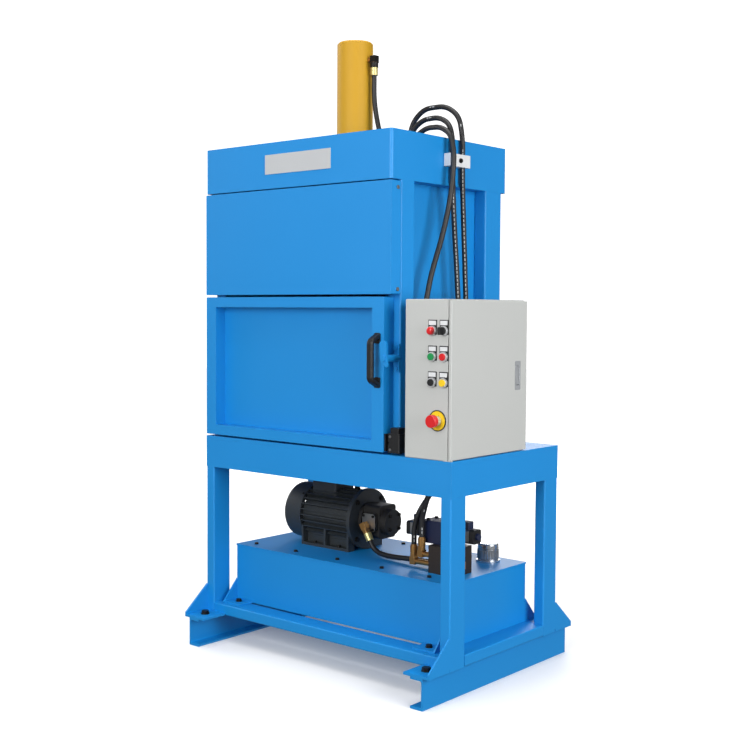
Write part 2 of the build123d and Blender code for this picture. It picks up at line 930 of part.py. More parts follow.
# Latch: a lever on a boss that stands forward of the right front column
latch_x = press_right - latch_from_edge
lever_back = front - latch_front_gap
lever_front = lever_back - latch_lever_thickness
with BuildPart() as latch_bracket:
    front_slab(
        latch_x - latch_boss_radius, press_right,
        latch_pivot_height - latch_bracket_height / 2, latch_pivot_height + latch_bracket_height / 2,
        column_front - latch_bracket_thickness, column_front,
    )
    disc(
        front_plane(latch_x, column_front, latch_pivot_height),
        latch_boss_radius, column_front - lever_back - latch_gap,
    )
    disc(
        front_plane(latch_x, column_front, latch_pivot_height),
        latch_pin_radius, column_front - lever_front + latch_gap,
    )
    disc(
        front_plane(latch_x, lever_front - latch_gap, latch_pivot_height),
        latch_pin_head_radius, latch_pin_head,
    )
write(latch_bracket.part, "latch_bracket")
with BuildPart() as latch_lever:
    with BuildSketch(front_plane(latch_x, lever_back, latch_pivot_height)):
        with BuildSketch(mode=Mode.PRIVATE) as lever_head:
            with Locations((-latch_head_offset, latch_head_rise)):
                Circle(latch_head_radius)
        with BuildSketch(mode=Mode.PRIVATE) as lever_tail:
            with Locations((latch_tail_offset, -latch_tail_drop)):
                Circle(latch_tail_radius)
        Circle(latch_hub_radius)
        add(lever_head.sketch)
        make_hull()
        add(lever_tail.sketch)
    extrude(amount=latch_lever_thickness)
    with BuildSketch(front_plane(latch_x, lever_back, latch_pivot_height)):
        Circle(latch_hub_radius)
        with Locations((latch_tail_offset, -latch_tail_drop)):
            Circle(latch_tail_radius)
        make_hull()
    extrude(amount=latch_lever_thickness)
    disc(
        front_plane(latch_x, lever_back + overrun, latch_pivot_height),
        latch_pin_radius + latch_pin_clearance, latch_lever_thickness + 2 * overrun, mode=Mode.SUBTRACT,
    )
write(latch_lever.part, "latch_lever")

# Interlock: a key plate on the door's edge and a switch on the column
key_bottom = door_bottom + door_corner
key_front = front + (door_depth - key_depth) / 2
tongue_middle = key_bottom + key_height / 2
tongue_front = front + (door_depth - key_tongue_height) / 2
with BuildPart() as interlock_key:
    side_slab(
        key_front, key_front + key_depth, key_bottom, key_bottom + key_height,
        door_right, door_right + key_thickness,
    )
    side_slab(
        tongue_front, tongue_front + key_tongue_height,
        tongue_middle - key_tongue_thickness / 2, tongue_middle + key_tongue_thickness / 2,
        door_right + key_thickness, door_right + key_thickness + key_tongue_reach,
    )
write(interlock_key.part, "interlock_key")
switch_left = door_right + key_thickness + switch_gap
switch_bottom = table_height + switch_lift
switch_top = switch_bottom + switch_height
switch_front = column_front - switch_depth
switch_head_left = switch_left + (switch_width - switch_head_width) / 2
slot_half = key_tongue_thickness / 2 + switch_slot_clearance
with BuildPart() as interlock_switch:
    slab(
        switch_left, switch_left + switch_width, switch_front, column_front,
        switch_bottom, switch_top, corner=cabinet_corner,
    )
    slab(
        switch_head_left, switch_head_left + switch_head_width, switch_front + switch_gap, column_front,
        switch_top, switch_top + switch_head_height, corner=cabinet_corner,
    )
    side_slab(
        switch_front - overrun, tongue_front + key_tongue_height + switch_slot_clearance,
        tongue_middle - slot_half, tongue_middle + slot_half,
        switch_left - overrun, door_right + key_thickness + key_tongue_reach + switch_slot_clearance,
        mode=Mode.SUBTRACT,
    )
write(interlock_switch.part, "interlock_switch")

# Control cabinet: a sheet box that opens to the right
cabinet_right = right - lock_proud
cabinet_left = cabinet_right - cabinet_width
cabinet_back = front + cabinet_depth
cabinet_top = table_height + cabinet_height
cabinet_mouth = cabinet_right - cabinet_door_thickness - cabinet_door_gap
button_right_x = cabinet_right - button_column_from_edge
button_left_x = button_right_x - button_column_pitch
button_rows = [cabinet_top - button_top_row_drop - row * button_row_pitch for row in range(3)]
button_places = [(x, z) for z in button_rows for x in (button_left_x, button_right_x)]
estop_x = cabinet_right - estop_from_edge
estop_z = cabinet_top - estop_drop
pivot_x = cabinet_right - cabinet_hinge_inset
pivot_y = front + cabinet_hinge_inset
with BuildPart() as cabinet_body:
    slab(cabinet_left, cabinet_mouth, front, cabinet_back, table_height, cabinet_top)
    fillet(cabinet_body.edges().filter_by(Axis.X), cabinet_corner)
    slab(
        cabinet_left + cabinet_sheet, cabinet_mouth - cabinet_sheet,
        front + cabinet_sheet, cabinet_back - cabinet_sheet,
        table_height + cabinet_sheet, cabinet_top - cabinet_sheet, mode=Mode.SUBTRACT,
    )
    side_slab(
        front + cabinet_lip, cabinet_back - cabinet_lip,
        table_height + cabinet_lip, cabinet_top - cabinet_lip,
        cabinet_mouth - cabinet_sheet - overrun, cabinet_mouth + overrun, mode=Mode.SUBTRACT,
    )
    for x, z in button_places + [(estop_x, estop_z)]:
        disc(
            front_plane(x, front + 2 * cabinet_sheet, z), button_hole / 2, 3 * cabinet_sheet,
            mode=Mode.SUBTRACT,
        )
    for lug_low, pin_low in (
        (table_height, table_height + cabinet_lug_thickness),
        (
            cabinet_top - cabinet_lug_thickness,
            cabinet_top - cabinet_lug_thickness - cabinet_hinge_pin_length,
        ),
    ):
        slab(
            pivot_x - cabinet_lug_length, pivot_x + cabinet_hinge_inset,
            front, front + 2 * cabinet_hinge_inset,
            lug_low, lug_low + cabinet_lug_thickness,
        )
        disc(Plane((pivot_x, pivot_y, pin_low)), cabinet_hinge_pin_radius, cabinet_hinge_pin_length)
write(cabinet_body.part, "cabinet_body")

# Cabinet door with a pocket for its lock
door_low = table_height + cabinet_lug_thickness + cabinet_lug_clearance
door_high = cabinet_top - cabinet_lug_thickness - cabinet_lug_clearance
lock_y = cabinet_back - lock_from_edge
lock_z = table_height + lock_middle_rise
lock_depth = cabinet_door_thickness - cabinet_door_gap
with BuildPart() as cabinet_door:
    slab(cabinet_right - cabinet_door_thickness, cabinet_right, front, cabinet_back, door_low, door_high)
    fillet(cabinet_door.faces().sort_by(Axis.X)[-1].edges(), cabinet_corner / 2)
    for bore_low in (door_low - overrun, door_high - cabinet_hinge_pin_length - overrun):
        disc(
            Plane((pivot_x, pivot_y, bore_low)), cabinet_hinge_pin_radius + cabinet_hinge_pin_clearance,
            cabinet_hinge_pin_length + 2 * overrun, mode=Mode.SUBTRACT,
        )
    side_slab(
        lock_y - lock_width / 2, lock_y + lock_width / 2, lock_z - lock_height / 2, lock_z + lock_height / 2,
        cabinet_right - lock_depth, cabinet_right + overrun, corner=cabinet_corner, mode=Mode.SUBTRACT,
    )
write(cabinet_door.part, "cabinet_door")
lever_pivot_x = cabinet_right - lock_depth / 2
lever_slot_width = lock_lever_width + 2 * lock_lever_clearance
lever_slot_height = lock_lever_height + 2 * lock_lever_clearance
lever_floor = cabinet_right - lock_depth + lock_lever_clearance
lever_low = lock_z - lock_lever_height / 2
lever_half = lever_pivot_x - lever_floor - lock_lever_clearance / 2
with BuildPart() as cabinet_lock:
    side_slab(
        lock_y - lock_width / 2, lock_y + lock_width / 2, lock_z - lock_height / 2, lock_z + lock_height / 2,
        cabinet_right - lock_depth, cabinet_right, corner=cabinet_corner,
    )
    side_slab(
        lock_y - lever_slot_width / 2, lock_y + lever_slot_width / 2,
        lock_z - lever_slot_height / 2, lock_z + lever_slot_height / 2,
        lever_floor, cabinet_right + overrun, mode=Mode.SUBTRACT,
    )
    disc(
        front_plane(lever_pivot_x, lock_y + lever_slot_width / 2, lever_low + lever_half),
        lever_half / 2, lever_slot_width,
    )
write(cabinet_lock.part, "cabinet_lock")
with BuildPart() as lock_lever:
    with BuildSketch(front_plane(lever_pivot_x, lock_y + lock_lever_width / 2, lever_low + lever_half)):
        Circle(lever_half)
        with Locations((0, (lock_lever_height - lever_half) / 2)):
            Rectangle(2 * lever_half, lock_lever_height - lever_half)
        with Locations(((lock_proud + lever_half) / 2, lock_lever_height - 2 * lever_half)):
            Rectangle(lock_proud + lever_half, 2 * lever_half)
        Circle(lever_half / 2 + lock_pin_clearance, mode=Mode.SUBTRACT)
    extrude(amount=lock_lever_width)
write(lock_lever.part, "lock_lever")

# Mounting plate with its control gear, on stand-offs from the cabinet's left wall
gear_left = cabinet_left + cabinet_sheet + gear_standoff
gear_face = gear_left + gear_plate_thickness
gear_front = front + gear_plate_distance
gear_back = cabinet_back - gear_plate_distance
gear_low = table_height + gear_plate_distance
gear_high = cabinet_top - gear_plate_distance
gear_rows = (
    (gear_low + contactor_height, contactor_width, contactor_height, contactor_depth, contactor_count),
    (gear_high - breaker_height, breaker_width, breaker_height, breaker_depth, breaker_count),
)
with BuildPart() as control_plate:
    side_slab(gear_front, gear_back, gear_low, gear_high, gear_left, gear_face)
    for y in (gear_front + contactor_gap, gear_back - contactor_gap):
        for z in (gear_low + contactor_gap, gear_high - contactor_gap):
            disc(Plane((gear_left - gear_standoff, y, z), z_dir=(1, 0, 0)), gear_standoff / 2, gear_standoff)
    for row_z, unit_width, unit_height, unit_depth, unit_count in gear_rows:
        side_slab(
            gear_front + contactor_gap, gear_back - contactor_gap,
            row_z - rail_strip_height / 2, row_z + rail_strip_height / 2,
            gear_face, gear_face + rail_strip_depth,
        )
        for unit in range(unit_count):
            unit_front = gear_front + 2 * contactor_gap + unit * (unit_width + contactor_gap)
            side_slab(
                unit_front, unit_front + unit_width, row_z - unit_height / 2, row_z + unit_height / 2,
                gear_face, gear_face + unit_depth,
            )
write(control_plate.part, "control_plate")


def collar(x, z, height):
    """Adds one button collar: a ring on the sheet, a floor and a tail through the hole."""
    disc(front_plane(x, front, z), collar_radius, height)
    disc(front_plane(x, front + collar_tail, z), collar_tail_radius, collar_tail)
    disc(front_plane(x, front - collar_floor, z), collar_bore, height, mode=Mode.SUBTRACT)
    disc(
        front_plane(x, front + collar_tail + overrun, z), button_stem_radius + control_clearance,
        collar_tail + height + 2 * overrun, mode=Mode.SUBTRACT,
    )


# Button collars: six in two columns and a taller one for the emergency stop
with BuildPart() as button_collars:
    for x, z in button_places:
        collar(x, z, collar_height)
    collar(estop_x, estop_z, estop_collar_height)
write(button_collars.part, "button_collars")

# Pilot lamp and selector in the top row
lamp_x, lamp_z = button_places[0]
selector_x, selector_z = button_places[1]
collar_front = front - collar_height
stem_back = front + collar_tail
with BuildPart() as pilot_lamp:
    disc(front_plane(lamp_x, collar_front, lamp_z), lamp_radius, lamp_proud)
    fillet(pilot_lamp.edges().group_by(Axis.Y)[0], lamp_dome)
    disc(front_plane(lamp_x, front - collar_floor, lamp_z), button_radius, collar_height - collar_floor)
write(pilot_lamp.part, "pilot_lamp")
with BuildPart() as selector_knob:
    disc(front_plane(selector_x, collar_front - control_gap, selector_z), selector_radius, selector_base)
    with BuildSketch(front_plane(selector_x, collar_front - control_gap, selector_z)):
        RectangleRounded(selector_grip_width, selector_grip_length, selector_grip_width / 3)
    extrude(amount=selector_base + selector_grip_height)
    disc(
        front_plane(selector_x, stem_back, selector_z), button_stem_radius,
        stem_back - collar_front + selector_base,
    )
write(selector_knob.part, "selector_knob")

# Push buttons: a head inside the collar's ring on a stem
head_back = front - collar_floor - button_travel - control_gap
head_front = collar_front - button_proud
for name, (x, z) in zip(("green", "red", "black", "yellow"), button_places[2:]):
    with BuildPart() as push_button:
        disc(front_plane(x, head_back, z), button_radius, head_back - head_front)
        disc(front_plane(x, stem_back, z), button_stem_radius, stem_back - head_front - collar_floor)
    write(push_button.part, name + "_button")

# Emergency stop: a mushroom head on a neck
neck_back = front - collar_floor - estop_travel - control_gap
mushroom_back = front - estop_collar_height - estop_travel - control_gap
with BuildPart() as estop_button:
    disc(front_plane(estop_x, mushroom_back, estop_z), estop_head_radius, estop_head_height)
    fillet(estop_button.edges().group_by(Axis.Y)[0], estop_dish)
    disc(front_plane(estop_x, neck_back, estop_z), button_radius, neck_back - mushroom_back)
    disc(front_plane(estop_x, stem_back, estop_z), button_stem_radius, stem_back - mushroom_back)
write(estop_button.part, "estop_button")

# Oil tank: a closed box on four bolted-down brackets
bracket_middle = (bracket_width + bracket_thickness) / 2
with BuildPart() as oil_tank:
    slab(tank_left, tank_right, tank_front, tank_back, rail_top, tank_top, corner=tank_corner)
    for root, tip in (
        (tank_front, tank_front - bracket_length),
        (tank_back, tank_back + bracket_length),
    ):
        for plate_left, gusset_left, hole_x in (
            (tank_left, tank_left, tank_left + bracket_middle),
            (tank_right - bracket_width, tank_right - bracket_thickness, tank_right - bracket_middle),
        ):
            inward = tank_corner if root < tip else -tank_corner
            slab(
                plate_left, plate_left + bracket_width, min(root - inward, tip), max(root - inward, tip),
                rail_top, rail_top + bracket_thickness,
            )
            gusset(
                gusset_left, tip, root - inward, rail_top, bracket_gusset_height,
                bracket_thickness, bracket_thickness,
            )
            with Locations((hole_x, (root + tip) / 2, rail_top + bracket_thickness)):
                Hole(bracket_hole / 2, depth=bracket_thickness)
write(oil_tank.part, "oil_tank")
with BuildPart() as tank_lid:
    slab(
        tank_left - lid_overhang, tank_right + lid_overhang,
        tank_front - lid_overhang, tank_back + lid_overhang,
        tank_top, lid_top, corner=tank_corner,
    )
write(tank_lid.part, "tank_lid")


def motor_plane(x):
    """Returns the plane square to the motor's axis at a place along the axis."""
    return Plane((x, motor_y, motor_z), x_dir=(0, 1, 0), z_dir=(1, 0, 0))


# Motor frame: finned barrel with two end shields, a flange, feet and a terminal box
fin_depth = motor_fin_radius - motor_body_radius
foot_left = (body_left + body_right - motor_foot_length) / 2
foot_right = foot_left + motor_foot_length
box_left = body_left + terminal_box_offset
box_right = box_left + terminal_box_length
box_foot = motor_z + (motor_bore + motor_body_radius) / 2
box_top = motor_z + motor_fin_radius + terminal_box_height
box_front = motor_y - terminal_box_width / 2
box_back = motor_y + terminal_box_width / 2
gland_z = box_top - terminal_box_height / 2
with BuildPart() as motor_frame:
    with BuildSketch(motor_plane(body_left)):
        Circle(motor_body_radius)
        with PolarLocations(motor_body_radius + fin_depth / 2 - overrun, motor_fin_count):
            Rectangle(fin_depth + 2 * overrun, motor_fin_thickness)
    extrude(amount=motor_body_length)
    disc(motor_plane(body_right), motor_flange_radius, motor_flange_thickness)
    slab(box_left, box_right, box_front, box_back, box_foot, box_top, corner=terminal_box_corner)
    slab(
        box_left - terminal_lid_overhang, box_right + terminal_lid_overhang,
        box_front - terminal_lid_overhang, box_back + terminal_lid_overhang,
        box_top, box_top + terminal_lid_thickness, corner=terminal_box_corner,
    )
    disc(
        Plane((box_right, motor_y, gland_z), x_dir=(0, 1, 0), z_dir=(1, 0, 0)),
        terminal_gland_radius, terminal_gland_length,
    )
    for side in (-1, 1):
        outer = motor_y + side * motor_foot_width / 2
        inner = outer - side * motor_foot_leg
        slab(
            foot_left, foot_right, min(inner, outer), max(inner, outer),
            lid_top, lid_top + motor_foot_thickness,
        )
        web = inner + side * motor_foot_rib
        slab(
            foot_left, foot_right, min(inner, web), max(inner, web),
            lid_top, motor_z - motor_body_radius / 2,
        )
        for rib_share in motor_rib_shares:
            rib_left = foot_left + rib_share * (motor_foot_length - motor_foot_rib)
            slab(
                rib_left, rib_left + motor_foot_rib, min(inner, outer), max(inner, outer),
                lid_top, motor_z - motor_body_radius / 2,
            )
    disc(
        motor_plane(body_left + motor_end_shield), motor_bore,
        motor_body_length - 2 * motor_end_shield, mode=Mode.SUBTRACT,
    )
    disc(
        motor_plane(body_left - overrun), motor_shaft_radius + motor_shaft_clearance,
        motor_body_length + motor_flange_thickness + 2 * overrun, mode=Mode.SUBTRACT,
    )
write(motor_frame.part, "motor_frame")

# Fan cover: a drawn cup with radial slots in its end
cover_left = body_left - fan_cover_length
with BuildPart() as motor_fan_cover:
    disc(motor_plane(cover_left), fan_cover_radius, fan_cover_length)
    fillet(motor_fan_cover.edges().group_by(Axis.X)[0], fan_cover_edge)
    disc(
        motor_plane(cover_left + fan_cover_sheet), fan_cover_radius - fan_cover_edge,
        fan_cover_edge, mode=Mode.SUBTRACT,
    )
    disc(
        motor_plane(cover_left + fan_cover_edge), fan_cover_radius - fan_cover_sheet,
        fan_cover_length, mode=Mode.SUBTRACT,
    )
    with BuildSketch(motor_plane(cover_left - overrun)):
        with PolarLocations(fan_hub_radius + fan_cover_slot_length / 2, fan_cover_slot_count):
            Rectangle(fan_cover_slot_length, fan_cover_slot_width)
    extrude(amount=fan_cover_edge, mode=Mode.SUBTRACT)
write(motor_fan_cover.part, "motor_fan_cover")

# Rotor: core, shaft and fan turned and cut as one piece
fan_left = body_left - fan_gap - fan_width
shaft_right = flange_right + pump_flange_length + pump_body_length / 2
with BuildPart() as motor_rotor:
    disc(motor_plane(fan_left), motor_shaft_radius, shaft_right - fan_left)
    disc(
        motor_plane(body_left + motor_end_shield + fan_gap), rotor_radius,
        motor_body_length - 2 * motor_end_shield - 2 * fan_gap,
    )
    disc(motor_plane(fan_left), fan_hub_radius, fan_width)
    with BuildSketch(motor_plane(fan_left)):
        with PolarLocations((fan_radius + motor_shaft_radius) / 2, fan_blade_count):
            Rectangle(fan_radius - motor_shaft_radius, fan_blade_thickness)
    extrude(amount=fan_width)
write(motor_rotor.part, "motor_rotor")

# Pump on the motor's flange, with a port block on its front
port_left = pump_left + (pump_body_length - pump_port_width) / 2
with BuildPart() as pump:
    disc(motor_plane(flange_right), pump_flange_radius, pump_flange_length)
    side_slab(
        pump_front, motor_y + pump_body_width / 2,
        motor_z - pump_body_height / 2, motor_z + pump_body_height / 2,
        pump_left, pump_right, corner=pump_corner,
    )
    disc(motor_plane(pump_right), pump_body_width / 2, pump_cover_length)
    front_slab(
        port_left, port_left + pump_port_width,
        motor_z - pump_port_height / 2, motor_z + pump_port_height / 2,
        pump_front - pump_port_thickness, pump_front + overrun, corner=pump_corner,
    )
    disc(
        motor_plane(flange_right - overrun), motor_shaft_radius + motor_shaft_clearance,
        pump_flange_length + pump_body_length / 2 + shaft_end_gap + overrun, mode=Mode.SUBTRACT,
    )
write(pump.part, "pump")

# Manifold and the directional valve on top of it
with BuildPart() as manifold:
    slab(block_left, block_right, block_front, block_back, lid_top, block_top)
    chamfer(manifold.edges().filter_by(Axis.Z), valve_edge / 2)
write(manifold.part, "manifold")
valve_left = block_left - valve_left_reach
valve_right = valve_left + valve_width
valve_y = block_back - valve_depth / 2
valve_z = block_top + valve_height / 2
with BuildPart() as directional_valve:
    slab(
        valve_left, valve_right, valve_y - valve_depth / 2, valve_y + valve_depth / 2,
        block_top, block_top + valve_height, corner=valve_edge,
    )
    for core_left in (
        valve_left - coil_gap - coil_length - coil_nut_length,
        valve_right,
    ):
        disc(
            Plane((core_left, valve_y, valve_z), z_dir=(1, 0, 0)), coil_nut_radius,
            coil_gap + coil_length + coil_nut_length,
        )
    for coil_left in (valve_left - coil_gap - coil_length, valve_right + coil_gap):
        side_slab(
            valve_y - coil_width / 2, valve_y + coil_width / 2,
            valve_z - coil_width / 2, valve_z + coil_width / 2,
            coil_left, coil_left + coil_length, corner=coil_corner,
        )
        plug_left = coil_left + (coil_length - coil_plug_width) / 2
        slab(
            plug_left, plug_left + coil_plug_width,
            valve_y - coil_plug_width / 2, valve_y + coil_plug_width / 2,
            valve_z, valve_z + coil_width / 2 + coil_plug_height, corner=valve_edge,
        )
write(directional_valve.part, "directional_valve")

# Filler breather: a flanged neck under a turning cap
breather_at = (right - breather_from_right, back - breather_from_back)
cap_bottom = lid_top + breather_flange_thickness + breather_cap_gap
with BuildPart() as filler_breather:
    disc(Plane((*breather_at, lid_top)), breather_flange_radius, breather_flange_thickness)
    disc(
        Plane((*breather_at, lid_top)), breather_neck_radius,
        breather_flange_thickness + breather_neck_height,
    )
write(filler_breather.part, "filler_breather")
with BuildPart() as breather_cap:
    disc(Plane((*breather_at, cap_bottom)), breather_cap_radius, breather_cap_height)
    fillet(breather_cap.edges().group_by(Axis.Z)[-1], breather_cap_edge)
    disc(
        Plane((*breather_at, cap_bottom - overrun)), breather_neck_radius + motor_shaft_clearance,
        breather_neck_height + overrun, mode=Mode.SUBTRACT,
    )
write(breather_cap.part, "breather_cap")


elbow_half = elbow_radius + ferrule_step
elbow_drop = ferrule_length + elbow_half


def ferrule(end, direction):
    """Adds a hose ferrule that ends at a point, with its nut behind it."""
    base = Plane(end, z_dir=direction).offset(-ferrule_length)
    with BuildSketch(base) as profile:
        RegularPolygon(fitting_hex / 2, 6, major_radius=False)
    extrude(profile.sketch, amount=fitting_hex_length)
    disc(base, ferrule_radius - ferrule_step, ferrule_length)
    disc(base.offset(fitting_hex_length + ferrule_step), ferrule_radius, ferrule_length / 2)


def elbow(end, direction, stub_end):
    """Adds a forged elbow below a ferrule: a block at the corner and a stub to a face."""
    base = Plane(end, z_dir=direction).offset(-ferrule_length)
    corner = base.offset(-elbow_half)
    with BuildSketch(base.offset(-2 * elbow_half)) as profile:
        Rectangle(2 * elbow_half, 2 * elbow_half)
    extrude(profile.sketch, amount=2 * elbow_half + ferrule_step)
    way = Vector(*stub_end) - corner.origin
    disc(Plane(corner.origin, z_dir=way.normalized()), elbow_radius, way.length)


# Fittings: each ferrule meets a hose end face to face
bulkhead_routes = [hose_routes["cylinder_hose"][0][::-1]] + hose_routes["feed_hoses"]
feed_ends = [route[-1] for route in hose_routes["feed_hoses"]]
ram_end = hose_routes["cylinder_hose"][0][0]
pump_end = hose_routes["pump_hose"][0][0]
pump_way = Vector(*hose_routes["pump_hose"][0][1]) - Vector(*pump_end)
block_end = hose_routes["pump_hose"][0][-1]
with BuildPart() as hose_fittings:
    for route in bulkhead_routes:
        ferrule(route[0], (0, 0, 1))
    for end, stub_x in zip(feed_ends, (block_left, block_left, block_right)):
        ferrule(end, (0, 0, 1))
        elbow(end, (0, 0, 1), (stub_x, end[1], end[2] - elbow_drop))
    ferrule(ram_end, (0, 0, -1))
    elbow(
        ram_end, (0, 0, -1),
        (press_middle + barrel_diameter / 2, ram_end[1], ram_end[2] + elbow_drop),
    )
    ferrule(pump_end, pump_way.normalized())
    corner = Vector(*pump_end) - pump_way.normalized() * elbow_drop
    elbow(pump_end, pump_way.normalized(), (corner.X, pump_front - pump_port_thickness, corner.Z))
    ferrule(block_end, (-1, 0, 0))
write(hose_fittings.part, "hose_fittings")

# Clamp: a block on the crown's right wall that holds two of the feed hoses
clamp_y = press_center_y + clamp_shift
clamp_top = crown_top - clamp_drop
with BuildPart() as hose_clamp:
    slab(
        press_right, press_right + clamp_depth, clamp_y - clamp_width / 2, clamp_y + clamp_width / 2,
        clamp_top - clamp_height, clamp_top,
    )
    for hole_y in (clamp_y - clamp_hole_pitch / 2, clamp_y + clamp_hole_pitch / 2):
        disc(
            Plane((press_right + clamp_hole_out, hole_y, clamp_top - clamp_height - overrun)),
            hose_diameter / 2 + clamp_bore_clearance, clamp_height + 2 * overrun, mode=Mode.SUBTRACT,
        )
write(hose_clamp.part, "hose_clamp")
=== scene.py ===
"""Looks of the bucket flattening press: finishes, hoses, fasteners, trim, camera and light."""

import logging
import math
from dataclasses import dataclass, field
from enum import Enum
from typing import Iterable, Sequence

import bmesh
import bpy
from mathutils import Matrix, Vector


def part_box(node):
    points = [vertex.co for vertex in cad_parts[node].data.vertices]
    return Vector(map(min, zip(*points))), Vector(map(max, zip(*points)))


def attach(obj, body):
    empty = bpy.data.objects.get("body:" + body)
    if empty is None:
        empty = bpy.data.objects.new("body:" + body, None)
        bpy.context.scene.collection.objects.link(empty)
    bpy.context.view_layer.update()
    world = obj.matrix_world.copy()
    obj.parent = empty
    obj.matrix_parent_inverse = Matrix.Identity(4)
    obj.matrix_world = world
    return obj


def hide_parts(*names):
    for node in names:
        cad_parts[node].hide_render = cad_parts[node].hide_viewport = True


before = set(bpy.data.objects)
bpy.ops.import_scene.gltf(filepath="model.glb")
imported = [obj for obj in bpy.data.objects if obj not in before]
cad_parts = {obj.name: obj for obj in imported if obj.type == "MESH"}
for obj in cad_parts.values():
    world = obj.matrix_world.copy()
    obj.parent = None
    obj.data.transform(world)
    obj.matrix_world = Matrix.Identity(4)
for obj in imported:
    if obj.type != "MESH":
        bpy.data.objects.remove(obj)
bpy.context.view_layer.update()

log = logging.getLogger("press")

Point = tuple[float, float, float]
Color = tuple[float, float, float]

FORWARD = Vector((0.0, -1.0, 0.0))
RIGHT = Vector((1.0, 0.0, 0.0))
UP = Vector((0.0, 0.0, 1.0))
MOTOR_AXIS_HEIGHT = 0.112
PRINT_FACE = Vector((0.65, -0.76, 0.1))


def linear(red: int, green: int, blue: int) -> Color:
    """Turns an 8-bit display colour into the linear one that shaders use.

    Args:
        red: Red from 0 to 255.
        green: Green from 0 to 255.
        blue: Blue from 0 to 255.

    Returns:
        The linear colour.
    """
    channels = (red / 255, green / 255, blue / 255)
    return tuple(c / 12.92 if c <= 0.04045 else ((c + 0.055) / 1.055) ** 2.4 for c in channels)


class Skin(Enum):
    """The kinds of surface, each with its own shader node group."""

    PAINT = "paint"
    BRUSHED = "brushed"
    CAST = "cast"
    PLASTIC = "plastic"


@dataclass(frozen=True)
class Finish:
    """One finish: a colour and how its surface takes light.

    Attributes:
        name: The material's name.
        color: Linear base colour.
        skin: The kind of surface.
        roughness: Mean roughness.
        metallic: 1 for bare metal.
        coat: Weight of the clear coat.
        variation: How far the colour wanders, as a share.
        grain: Grain cells in a metre.
        bump: Height of the grain in metres.
        edge: Radius of the softened edges in metres.
        like: The record's slot, where it has another name.
    """

    name: str
    color: Color
    skin: Skin
    roughness: float
    metallic: float = 0.0
    coat: float = 0.0
    variation: float = 0.06
    grain: float = 400.0
    bump: float = 0.00004
    edge: float = 0.0012
    like: str = ""

    @property
    def slot(self) -> str:
        """The record's material slot that this finish belongs to."""
        return self.like or self.name


BLUE = Finish("blue_paint", linear(3, 133, 206), Skin.PAINT, 0.5, coat=0.03, variation=0.05)
YELLOW = Finish("yellow_paint", linear(190, 143, 4), Skin.PAINT, 0.6, coat=0.0, variation=0.05)
GREY = Finish("cabinet_paint", linear(184, 186, 184), Skin.PAINT, 0.5, variation=0.03, bump=0.00008)
MOTOR = Finish("motor_paint", linear(44, 49, 52), Skin.CAST, 0.46, coat=0.1, variation=0.12)
PUMP = Finish("pump_iron", linear(40, 39, 38), Skin.CAST, 0.55, metallic=0.3, variation=0.2, bump=0.0003)
DARK_STEEL = Finish("dark_steel", linear(50, 42, 37), Skin.BRUSHED, 0.5, metallic=0.4, variation=0.2)
STEEL = Finish("bare_steel", linear(150, 152, 154), Skin.BRUSHED, 0.38, metallic=1.0, variation=0.12)
CHROME = Finish("hard_chrome", linear(206, 210, 214), Skin.BRUSHED, 0.2, metallic=0.92, variation=0.04)
LOCK = Finish("lock_chrome", linear(196, 200, 204), Skin.BRUSHED, 0.26, metallic=0.6, variation=0.06)
BRASS = Finish("fitting_brass", linear(172, 130, 78), Skin.BRUSHED, 0.36, metallic=0.9, variation=0.18)
VALVE = Finish("valve_paint", linear(13, 25, 58), Skin.PAINT, 0.42, coat=0.15, variation=0.1)
BLACK = Finish("black_plastic", linear(14, 15, 18), Skin.PLASTIC, 0.46, variation=0.1)
OXIDE = Finish(
    "black_oxide", linear(38, 37, 36), Skin.BRUSHED, 0.42, metallic=0.8, variation=0.2, like="dark_steel"
)
RUBBER = Finish("hose_rubber", linear(22, 22, 24), Skin.PLASTIC, 0.5, variation=0.15, grain=900.0)
WHITE = Finish("clamp_plastic", linear(216, 218, 220), Skin.PLASTIC, 0.5, variation=0.04)
GEAR = Finish("gear_plastic", linear(150, 152, 154), Skin.PLASTIC, 0.5)
RED = Finish("red_plastic", linear(206, 26, 30), Skin.PLASTIC, 0.28, coat=0.3)
GREEN = Finish("green_plastic", linear(22, 140, 74), Skin.PLASTIC, 0.3, coat=0.3)
AMBER = Finish("yellow_plastic", linear(240, 200, 30), Skin.PLASTIC, 0.32, coat=0.2)
PLATE = Finish(
    "blank_plate", linear(198, 201, 204), Skin.BRUSHED, 0.42, metallic=0.3, variation=0.05, like="bare_steel"
)
ZINC = Finish(
    "yellow_zinc", linear(206, 194, 132), Skin.BRUSHED, 0.36, metallic=0.7, like="fitting_brass"
)
COLLAR = Finish(
    "collar_chrome", linear(206, 208, 210), Skin.BRUSHED, 0.3, metallic=0.5, like="bare_steel"
)
PRINT = Finish("hose_print", linear(176, 178, 178), Skin.PLASTIC, 0.6, variation=0.2, like="clamp_plastic")

NODE_FINISHES: dict[Finish, tuple[str, ...]] = {
    YELLOW: ("cylinder_barrel",),
    GREY: ("cabinet_body", "cabinet_door"),
    MOTOR: ("motor_frame", "motor_fan_cover"),
    PUMP: ("pump",),
    DARK_STEEL: ("manifold", "cylinder_gland"),
    STEEL: ("platen", "motor_rotor"),
    COLLAR: ("button_collars",),
    CHROME: ("piston_rod", "filler_breather", "breather_cap"),
    LOCK: ("cabinet_lock", "lock_lever"),
    BRASS: ("hose_fittings",),
    VALVE: ("directional_valve",),
    BLACK: ("door_handle", "interlock_switch", "interlock_key", "selector_knob", "black_button"),
    WHITE: ("hose_clamp",),
    GEAR: ("control_plate",),
    RED: ("pilot_lamp", "red_button", "estop_button"),
    GREEN: ("green_button",),
    AMBER: ("yellow_button",),
    RUBBER: ("cylinder_hose", "feed_hoses", "pump_hose"),
}


